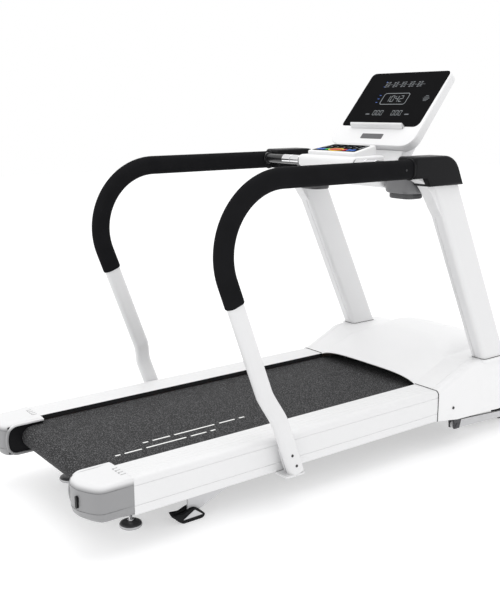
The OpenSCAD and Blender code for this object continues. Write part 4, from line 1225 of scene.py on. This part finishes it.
@dataclass
class Bridge:
    """Crossbar, control pod, tray, neck and cup holders; sizes in millimetres."""

    bar_y: float = 202.0
    bar_z: float = 1109.5
    bar_r: float = 18.0
    tilt: float = math.radians(10.5)
    pod: "tuple[float, float]" = (221.4, 1151.4)
    row: float = 20.0
    plate_low: float = -1.8
    plate_top: float = 0.6
    key_low: float = -0.5
    key_top: float = 2.1
    stop_half: "tuple[float, float]" = (32.5, 14.8)
    key_size: "tuple[float, float]" = (18.6, 20.6)
    keys: "tuple[tuple[str, float, str], ...]" = (
        ("key_incline_down", -96, "key_blue"), ("key_incline_up", -73, "key_blue"), ("key_start", -49,
            "key_green"),
        ("key_stop", 0, "key_red"), ("key_pause", 49, "key_red"), ("key_speed_down", 73, "key_blue"),
        ("key_speed_up", 96, "key_blue"))

    def build(self) -> None:
        """Make every part between the masts, below the console."""
        self.bar()
        self.housing()
        self.pad()
        self.tray()
        self.cups()

    def place(self) -> Matrix:
        """From the keypad's plane, in millimetres, to the machine."""
        return Matrix.Translation((0, *self.pod)) @ Matrix.Rotation(self.tilt, 4, "X")

    def bar(self) -> None:
        """The bar turned in one piece with its end flanges, and the pulse plates as part shells."""
        r, end = self.bar_r, 381.6
        half = [(0.01, end), (r, end), (r, end - 3.5), (23.0, end - 3.5), (23.5, end - 4.2), (23.5, end - 10),
                (22.6, end - 11), (r, end - 11.3)]
        profile = half + [(a, -b) for a, b in half[::-1]]
        profile = [(a, -b) for a, b in profile]
        piece("crossbar_tube", turned(profile, (0, self.bar_y, self.bar_z), 0, 64), "black_paint",
              stands_for=["crossbar"])
        shapes = []
        for x in (162.0, 214.0, -212.0, -264.0):
            a = np.radians(np.linspace(-24, 204, 40))
            u = np.concatenate([[0], np.linspace(1.2, 48.8, 8), [50]])
            draw = np.array([1.0] + [0.0] * 8 + [1.0])
            ring = (r + 1.4 - draw)[:, None]
            grid = np.stack([np.broadcast_to(x + u[:, None], (10, 40)), self.bar_y + ring * np.cos(a),
                             self.bar_z + ring * np.sin(a)], -1)
            shapes.append(shell(grid, 0.9))
        piece("pulse_plate_shells", joined(shapes), "chrome", stands_for=["pulse_plates"])

    def housing(self) -> None:
        """Round body on the bar, and the wedge that carries the keypad."""
        side_view = rounded([(180, 1086), (349, 1086), (349, 1136), (180, 1134)], [24, 14, 16, 22], 8)
        body = yz_slab(side_view, -158, 158, 9, 6)
        trapezoid = rounded([(-138, -13), (138, -13), (117, 124), (-117, 124)], 16, 7)
        wedge = moved(slab(trapezoid, -52, -0.2, 6, 5), self.place())
        piece("pod_moulding", joined([body, wedge]), "white_plastic", stands_for=["pod_housing"], sharp=45)

    def pad(self) -> None:
        """Black keypad with its printed lines, the seven keys and the ring round the stop key."""
        m = self.place()
        plate = slab(rounded([(-122, 0.5), (122, 0.5), (103, 105), (-103, 105)], 7, 6), self.plate_low,
                     self.plate_top, 0.5, 3)
        piece("keypad_plate", moved(plate, m), "black_gloss", stands_for=["keypad"])
        for name, x, finish in self.keys:
            if name == "key_stop":
                a = np.linspace(0, 2 * math.pi, 64, endpoint=False)
                outline = np.column_stack([self.stop_half[0] * np.cos(a), self.stop_half[1] * np.sin(a)])
            else:
                outline = box_outline(*self.key_size, 5, 6)
            key = moved(slab(outline + [x, self.row], self.key_low, self.key_top, 1.1, 5), m)
            piece(f"{name}_cap", key, finish, body=name, stands_for=[name])
        a = np.linspace(0, 2 * math.pi, 80, endpoint=False)
        unit = np.column_stack([np.cos(a), np.sin(a)])
        centres = np.column_stack([37.2 * unit[:, 0], 17.9 * unit[:, 1] + self.row, np.full(80, 0.9)])
        out = np.column_stack([unit, np.zeros(80)])
        up = np.tile([0.0, 0.0, 1.0], (80, 1))
        ring = carried(box_outline(5.6, 1.6, 0.6, 3)[::-1], centres, out, up, closed=True, capped=False)
        piece("stop_ring", moved(ring, m), "ring_yellow")
        marks = [slab(rounded(corners(x, 44, x + 9, 99), 2), 0.62, 0.9, 0.05, 1)
                 for x in (-104.0, 95.0)]
        piece("keypad_stripes", moved(joined(marks), m), "mark_grey")
        lines = []
        for x in (-70.0, -36.0, 2.0, 38.0, 70.0):
            lines.append(slab(rounded(corners(x - 9, 52, x + 9, 53.2), 0.4), 0.62, 0.85, 0.05, 1))
            lines.append(slab(rounded([(x - 5, 60), (x + 5, 60), (x, 68)], 0.8), 0.62, 0.85, 0.05, 1))
            lines.append(slab(rounded(corners(x - 9, 82, x + 9, 83), 0.4), 0.62, 0.85, 0.05, 1))
        piece("keypad_lines", moved(joined(lines), m), "mark_white")

    def tray(self) -> None:
        """Tray between the cup holders, and the neck that widens upwards to the console."""
        outline = rounded([(278, 1086), (278, 1068), (300, 1026), (345, 1012), (424, 1012), (464, 1030),
                           (472, 1086)],
                          [3, 22, 34, 24, 20, 26, 3], 8)
        tray = yz_slab(outline, -184, 184, 7, 5)
        neck = np.concatenate([[(352, 1085.9)], arc((330, 1175), 91.8, 284, 344, 14), [(444, 1151.5), (446.5,
            1155),
                               (488, 1204), (506, 1190), (466, 1085.9)]])
        verts, faces = yz_slab(neck[::-1], -190, 190, 9, 6)
        verts[:, 0] *= np.clip(150 + (verts[:, 2] - 1070) * 40 / 90, 150, 190) / 190
        piece("console_tray_moulding", joined([tray, (verts, faces)]), "white_plastic",
              stands_for=["console_tray"],
              sharp=40)

    def cups(self) -> None:
        """Each holder is one skin: up the outside, over the rim, down the ledge and into the bore."""
        levels = [(1001, 110, 84, 30, 12), (1001, 116, 90, 33, 0), (1003, 132, 104, 38, 0), (1006, 142, 112,
            42, 0), (1012, 148, 116, 44, 0),
                  (1020, 149.6, 117.6, 45, 0),
                  (1030, 150, 118, 45, 0), (1080, 150, 118, 45, 0), (1083.5, 150, 118, 45, 0.6), (1085.6,
                      150, 118, 45, 2),
                  (1086, 150, 118, 45, 3.4), (1085, 150, 118, 45, 4.6), (1078, 150, 118, 45, 6), (1066, 150,
                      118, 45, 7),
                  (1064, 150, 118, 45, 9)]
        outer, angles = [], np.concatenate([np.linspace(q, q + 90, 13) for q in (0, 90, 180, 270)])
        for z, w, d, r, less in levels:
            flat = inset(box_outline(w, d, r, 12), float(less))
            outer.append(np.column_stack([flat, np.full(len(flat), float(z))]))
        circle = np.column_stack([np.cos(np.radians(angles)), np.sin(np.radians(angles))])
        for z, r in ((1064, 45.0), (1062.5, 42.8), (1059, 42.0), (1020, 41.4), (1008, 41.0), (1004, 39.5),
                     (1002, 35.0),
                     (1002, 8.0)):
            outer.append(np.column_stack([circle * r, np.full(len(circle), z)]))
        shape = stitched(np.array(outer))
        placed = (shape[0] + np.array([260.0, 359.0, 0.0]), shape[1])
        piece("cup_holder_pair", pair(placed), "cup_plastic", stands_for=["cup_holders"], sharp=50)
        base = slab(box_outline(118, 92, 34, 12) + [260, 359], 982, 1001.5, 1, 5, 7)
        piece("cup_holder_bases", pair(base), "cup_base")


@dataclass
class Console:
    """Tilted console: front plate, shell, dark screen, shelf and badge; sizes in millimetres."""

    y: float = 462.4
    z: float = 1240.0
    tilt: float = math.radians(49.6)
    half: float = 232.0
    taper: float = 16.0
    low: float = -92.0
    high: float = 280.0
    screen: "tuple[float, float]" = (212.0, 277.0)
    depth: float = 42.0
    face: float = 8.0
    segments: "dict[str, str]" = field(default_factory=lambda: {
        "0": "abcdef", "1": "bc", "2": "abged", "3": "abgcd", "4": "fgbc", "5": "afgcd", "8": "abcdefg"})

    def place(self) -> Matrix:
        """From the screen's plane, in millimetres, to the machine."""
        return Matrix.Translation((0, self.y, self.z)) @ Matrix.Rotation(self.tilt, 4, "X")

    def plate(self, half: float, low: float, high: float, top: float, bottom: float) -> Array:
        """Outline with separate radii for the top and bottom corners, narrower at the top by the taper."""
        narrow = half - self.taper
        return rounded([(-half, low), (half, low), (narrow, high), (-narrow, high)], [bottom, bottom, top,
            top], 10)

    def build(self) -> None:
        """Make the case, the screen with its printing, the shelf and the badge."""
        m = self.place()
        front = slab(self.plate(self.half, self.low, self.high, 30, 62), -self.face, 0, 2.4, 5, 0.2)
        piece("console_front", moved(front, m), "white_plastic", stands_for=["console_bezel"])
        shell_outline = self.plate(self.half - 0.6, self.low + 0.6, self.high - 0.6, 30, 62)
        back = slab(shell_outline, -self.depth, -self.face - 0.2, 0.3, 8, 10)
        piece("console_back", moved(back, m), "pale_plastic", stands_for=["console_shell"])
        glass_outline = rounded([(-self.screen[0], 0), (self.screen[0], 0), (self.screen[0] + 1,
                                                                             self.screen[1]),
                                 (-self.screen[0] - 1, self.screen[1])], [16, 30, 24, 24], 10)
        glass = slab(glass_outline, -2.8, 0.7, 0.9, 4)
        piece("console_glass", moved(glass, m), "black_gloss", stands_for=["display"])
        self.shelf(m)
        self.printing(m)
        self.vents(m)

    def shelf(self, m: Matrix) -> None:
        """Rounded ledge carried across, and the plain badge below it."""
        ledge = rounded([(3.5, 0.4), (3, 20), (-1, 22.4), (-6, 19), (-11, 8), (-12.5, 0.4)], [0.5, 2, 3, 5,
            4, 0.5], 5)
        verts, faces = slab(ledge, -143, 143, 2.4, 5)
        turned_verts = verts[:, [2, 0, 1]]
        piece("shelf_ledge", moved((turned_verts, faces), m), "white_plastic", stands_for=["reading_shelf"])
        badge = slab(rounded(corners(-58.5, -62, 58.5, -38), 4, 5), -0.5, 1.6, 0.7, 4)
        piece("console_badge", moved(badge, m), "badge_silver")

    def digit(self, char: str, u: float, v: float, tall: float) -> "list[tuple[Array, list]]":
        """The bars of one seven-bar digit with its lower left corner at (u, v)."""
        wide, bar = tall * 0.56, tall * 0.07
        mid = tall / 2
        boxes = {
            "a": (bar, tall - bar, wide - bar, tall), "g": (bar, mid - bar / 2, wide - bar, mid + bar / 2),
            "d": (bar, 0, wide - bar, bar), "f": (0, mid + bar * 0.4, bar, tall - bar * 0.4),
            "e": (0, bar * 0.4, bar, mid - bar * 0.4), "b": (wide - bar, mid + bar * 0.4, wide,
                                                             tall - bar * 0.4),
            "c": (wide - bar, bar * 0.4, wide, mid - bar * 0.4)}
        made = []
        for letter in self.segments[char]:
            x0, y0, x1, y1 = boxes[letter]
            made.append(self.mark(u + x0, v + y0, u + x1, v + y1, bar * 0.35))
        return made

    def mark(self, u0: float, v0: float, u1: float, v1: float, radius: float) -> "tuple[Array, list]":
        """A thin printed bar on the glass."""
        return slab(rounded(corners(u0, v0, u1, v1), radius, 3), 0.72, 1.0, 0.05, 1)

    def printing(self, m: Matrix) -> None:
        """Digit groups, the frame of the main window, icons, label dashes and lit dots."""
        digits, lines, blue = [], [], []
        for text, u, v, tall in (("1042", -46, 124, 31), ("000", -73, 55, 25), ("000", 30, 55, 25)):
            for place, char in enumerate(text):
                digits += self.digit(char, u + place * tall * 0.78, v, tall)
        ring = box_outline(138, 56, 10, 5) + [0, 139]
        ahead = heading(ring)
        centres = np.column_stack([ring, np.full(len(ring), 0.85)])
        out = np.column_stack([ahead[:, 1], -ahead[:, 0], np.zeros(len(ring))])
        up = np.tile([0.0, 0.0, 1.0], (len(ring), 1))
        digits.append(carried(box_outline(2.4, 0.4, 0.15, 2)[::-1], centres, out, up, closed=True,
                              capped=False))
        for place in range(5):
            u = -86 + place * 44.0
            for step in range(4):
                v = 200 + step * 7.5
                lines += [self.mark(u - 13, v, u - 2, v + 3.4, 1), self.mark(u + 1, v + 1.5, u + 12, v + 4.6,
                                                                             1)]
            lines.append(self.mark(u + 14, 212, u + 27, 213.5, 0.5))
        blue += [self.mark(-104, 201, -98, 204, 1), self.mark(-104, 226, -98, 229, 1)]
        for u in (-112.0, 104.0):
            lines.append(self.mark(u, 58, u + 22, 63, 1.5))
        for v in (120.0, 138.0, 156.0):
            blue.append(self.mark(-96, v, -86, v + 2.6, 1))
        for v in (127.0, 133.0, 139.0, 145.0, 152.0):
            lines.append(self.mark(150 + abs(v - 139) * 0.6, v, 184 - abs(v - 139) * 0.8, v + 2.2, 0.8))
        piece("screen_digits", moved(joined(digits), m), "mark_white")
        piece("screen_lines", moved(joined(lines), m), "mark_grey")
        piece("screen_dots", moved(joined(blue), m), "mark_blue")

    def vents(self, m: Matrix) -> None:
        """Row of dark louvres on the console's back."""
        bars = [slab(rounded(corners(u - 3, 60, u + 3, 130), 3, 5), -self.depth - 0.5,
                     -self.depth + 2, 0.3, 2) for u in np.linspace(-90, 90, 13)]
        piece("console_louvres", moved(joined(bars), m), "black_plastic")


@dataclass
class Ground:
    """Levelling feet, rubber shoes and front wheels; sizes in millimetres."""

    foot: "tuple[float, float]" = (226.0, -825.0)
    wheel: "tuple[float, float, float]" = (300.0, 935.0, 38.0)

    def build(self) -> None:
        """Make the three kinds of support on each side."""
        for side in Side:
            self.level_foot(side)
            self.shoe(side)
            self.roll(side)

    def level_foot(self, side: Side) -> None:
        """Disc with a pale rim, lock nut and threaded stud, turned about Z."""
        x, y = self.foot
        disc = turned([(0.01, 9.0), (35.5, 9.0), (36.0, 10.6), (34.8, 12.8), (31.4, 14.8), (24, 16), (12,
            16.4),
                       (0.01, 16.4)], (x, y, 0), 2, 72)
        rim = turned([(0.01, 0.0), (33, 0.0), (35.8, 1.0), (37.2, 3.2), (37.5, 5.6), (37.2, 8.4), (36.2,
            9.8), (30, 9.9),
                      (0.01, 9.9)], (x, y, 0), 2, 72)
        thread = [(6.0 if k % 2 else 5.2, 16 + 0.9 * k) for k in range(1, 128)]
        stud = turned([(0.01, 16.2), *thread, (0.01, 131)], (x, y, 0), 2, 28)
        nut = slab(arc((x, y), 10, 0, 300, 5), 16.5, 24.5, 0.8, 3)
        body = f"foot_{side.word}"
        piece(f"{body}_disc", mirrored(disc, side), "cup_base", body=body, stands_for=[body])
        piece(f"{body}_stud", mirrored(joined([stud, nut]), side), "chrome", body=body)
        piece(f"{body}_rim", mirrored(rim, side), "alloy", body=body)

    def shoe(self, side: Side) -> None:
        """Two rubber cheeks on a sole, and the pale plates on their outer faces."""
        body = f"shoe_{side.word}"
        outline = rounded([(-717, 37), (-706, 16), (-690, 4), (-682, 0.2), (-611, 0.2), (-603, 4), (-598,
            13), (-612, 27),
                           (-627, 39), (-640, 45), (-656, 42), (-682, 33)], 5, 4)
        cheeks = [yz_slab(outline, a, b, 2.0) for a, b in ((280, 293.8), (306.2, 320))]
        sole = yz_slab(rounded([(-700, 11.5), (-690, 4), (-681, 0.3), (-612, 0.3), (-604, 4.4), (-601,
            11.5)], 2), 293, 307,
                       0.3)
        piece(f"{body}_rubber", mirrored(joined([*cheeks, sole]), side), "rubber", body=body,
              stands_for=[body])
        plates = [yz_slab(rounded([(-685, 14), (-609, 15), (-640, 39)], 4), a, b, 0.6)
                  for a, b in ((319.8, 321.8), (278.2, 280.2))]
        piece(f"{body}_plates", mirrored(joined(plates), side), "grey_paint", body=body)

    def roll(self, side: Side) -> None:
        """Solid tyre with shallow grooves and a dished hub, turned about X."""
        x, y, r = self.wheel
        half = [(6.2, 12.5), (9, 13), (10, 10), (24, 10), (26, 12.2), (r - 4, 13), (r - 1, 11.4), (r, 8.6),
                (r, 5),
                (r - 1, 4.4), (r - 1, 3.2), (r, 2.6)]
        profile = [(a, -b) for a, b in half] + half[::-1] + [half[0][:1] + (-12.5,)]
        body = f"wheel_{side.word}"
        shape = turned([(a, b) for a, b in profile], (x, y, r), 0, 72)
        piece(f"{body}_tyre", mirrored(shape, side), "rubber", body=body, stands_for=[body])


# ---- setting ---------------------------------------------------------------


@dataclass
class Studio:
    """Pale floor, soft lights and the camera; sizes in metres."""

    eye: "tuple[float, float, float]" = (2.5573, -2.0692, 1.3212)
    azimuth: float = 53.47
    elevation: float = 12.449
    roll: float = -0.276
    lens: float = 52.75
    floor_half: float = 14.0
    lamps: "tuple[tuple[str, tuple[float, ...], tuple[float, ...], float, float], ...]" = (
        ("overhead", (0.0, 0.6, 5.0), (0.0, 0.1, 0.3), 5.0, 90.0),
        ("rear_fill", (-2.0, -4.0, 2.6), (0.0, 0.0, 0.6), 3.0, 14.0))

    def build(self) -> None:
        """Make the floor, the lights and the camera."""
        self.floor()
        self.sky()
        for lamp in self.lamps:
            self.lamp(*lamp)
        self.camera()
        bpy.context.scene.view_settings.view_transform = "Standard"

    def floor(self) -> None:
        """A wide, even, pale floor."""
        mesh = bpy.data.meshes.new("studio_floor")
        size = self.floor_half
        mesh.from_pydata([(-size, -size, 0), (size, -size, 0), (size, size, 0), (-size, size, 0)], [], [(0,
            1, 2, 3)])
        g = Graph("studio_floor")
        cloud = g.noise(0.7, 3.0)
        g.set(Base_Color=g.mix(cloud, (0.6, 0.6, 0.605, 1), (0.62, 0.62, 0.625, 1)), Roughness=0.62,
              Emission_Color=(1, 1, 1, 1), Emission_Strength=0.5)
        mesh.materials.append(g.material)
        floor = bpy.data.objects.new("studio_floor", mesh)
        bpy.context.scene.collection.objects.link(floor)

    def sky(self) -> None:
        """Even pale light from all round."""
        world = bpy.data.worlds.new("studio_sky")
        world.use_nodes = True
        sky = world.node_tree.nodes["Background"]
        sky.inputs["Color"].default_value = (1.0, 1.0, 1.0, 1.0)
        sky.inputs["Strength"].default_value = 1.0
        bpy.context.scene.world = world

    def lamp(self, name: str, place: Sequence[float], target: Sequence[float], size: float,
             power: float) -> None:
        """One square area light, turned towards a target."""
        light = bpy.data.lights.new(name, "AREA")
        light.size = size
        light.energy = power
        lamp = bpy.data.objects.new(name, light)
        lamp.location = place
        lamp.rotation_euler = (Vector(target) - Vector(place)).to_track_quat("-Z", "Y").to_euler()
        bpy.context.scene.collection.objects.link(lamp)

    def camera(self) -> None:
        """The camera, from its place, its two angles and its roll."""
        a, e, r = (math.radians(v) for v in (self.azimuth, self.elevation, self.roll))
        right = Vector((math.cos(a), math.sin(a), 0))
        back = Vector((math.sin(a) * math.cos(e), -math.cos(a) * math.cos(e), math.sin(e)))
        up = back.cross(right)
        rolled = right * math.cos(r) + up * math.sin(r)
        top = up * math.cos(r) - right * math.sin(r)
        data = bpy.data.cameras.new("studio_camera")
        data.lens = self.lens
        data.clip_end = 60.0
        camera = bpy.data.objects.new("studio_camera", data)
        camera.matrix_world = Matrix((
            (rolled.x, top.x, back.x, self.eye[0]), (rolled.y, top.y, back.y, self.eye[1]),
            (rolled.z, top.z, back.z, self.eye[2]), (0, 0, 0, 1)))
        bpy.context.scene.collection.objects.link(camera)
        bpy.context.scene.camera = camera


@dataclass
class Treadmill:
    """The whole machine."""

    deck: Deck = field(default_factory=Deck)
    front: FrontBody = field(default_factory=FrontBody)
    mast: Mast = field(default_factory=Mast)
    handrail: Handrail = field(default_factory=Handrail)
    fasteners: Fasteners = field(default_factory=Fasteners)
    bridge: Bridge = field(default_factory=Bridge)
    console: Console = field(default_factory=Console)
    ground: Ground = field(default_factory=Ground)

    def build(self) -> None:
        """Make every sub-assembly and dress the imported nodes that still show."""
        WARDROBE.dress_cad()
        self.deck.build()
        self.front.build()
        for side in Side:
            self.mast.build(side)
            self.handrail.build(side)
        self.handrail.feet()
        self.fasteners.build()
        self.bridge.build()
        self.console.build()
        self.ground.build()


def main() -> None:
    """Build the machine and its setting."""
    logging.basicConfig(level=logging.INFO, format="%(name)s: %(message)s")
    Treadmill().build()
    Studio().build()


if __name__ == "__main__":
    main()
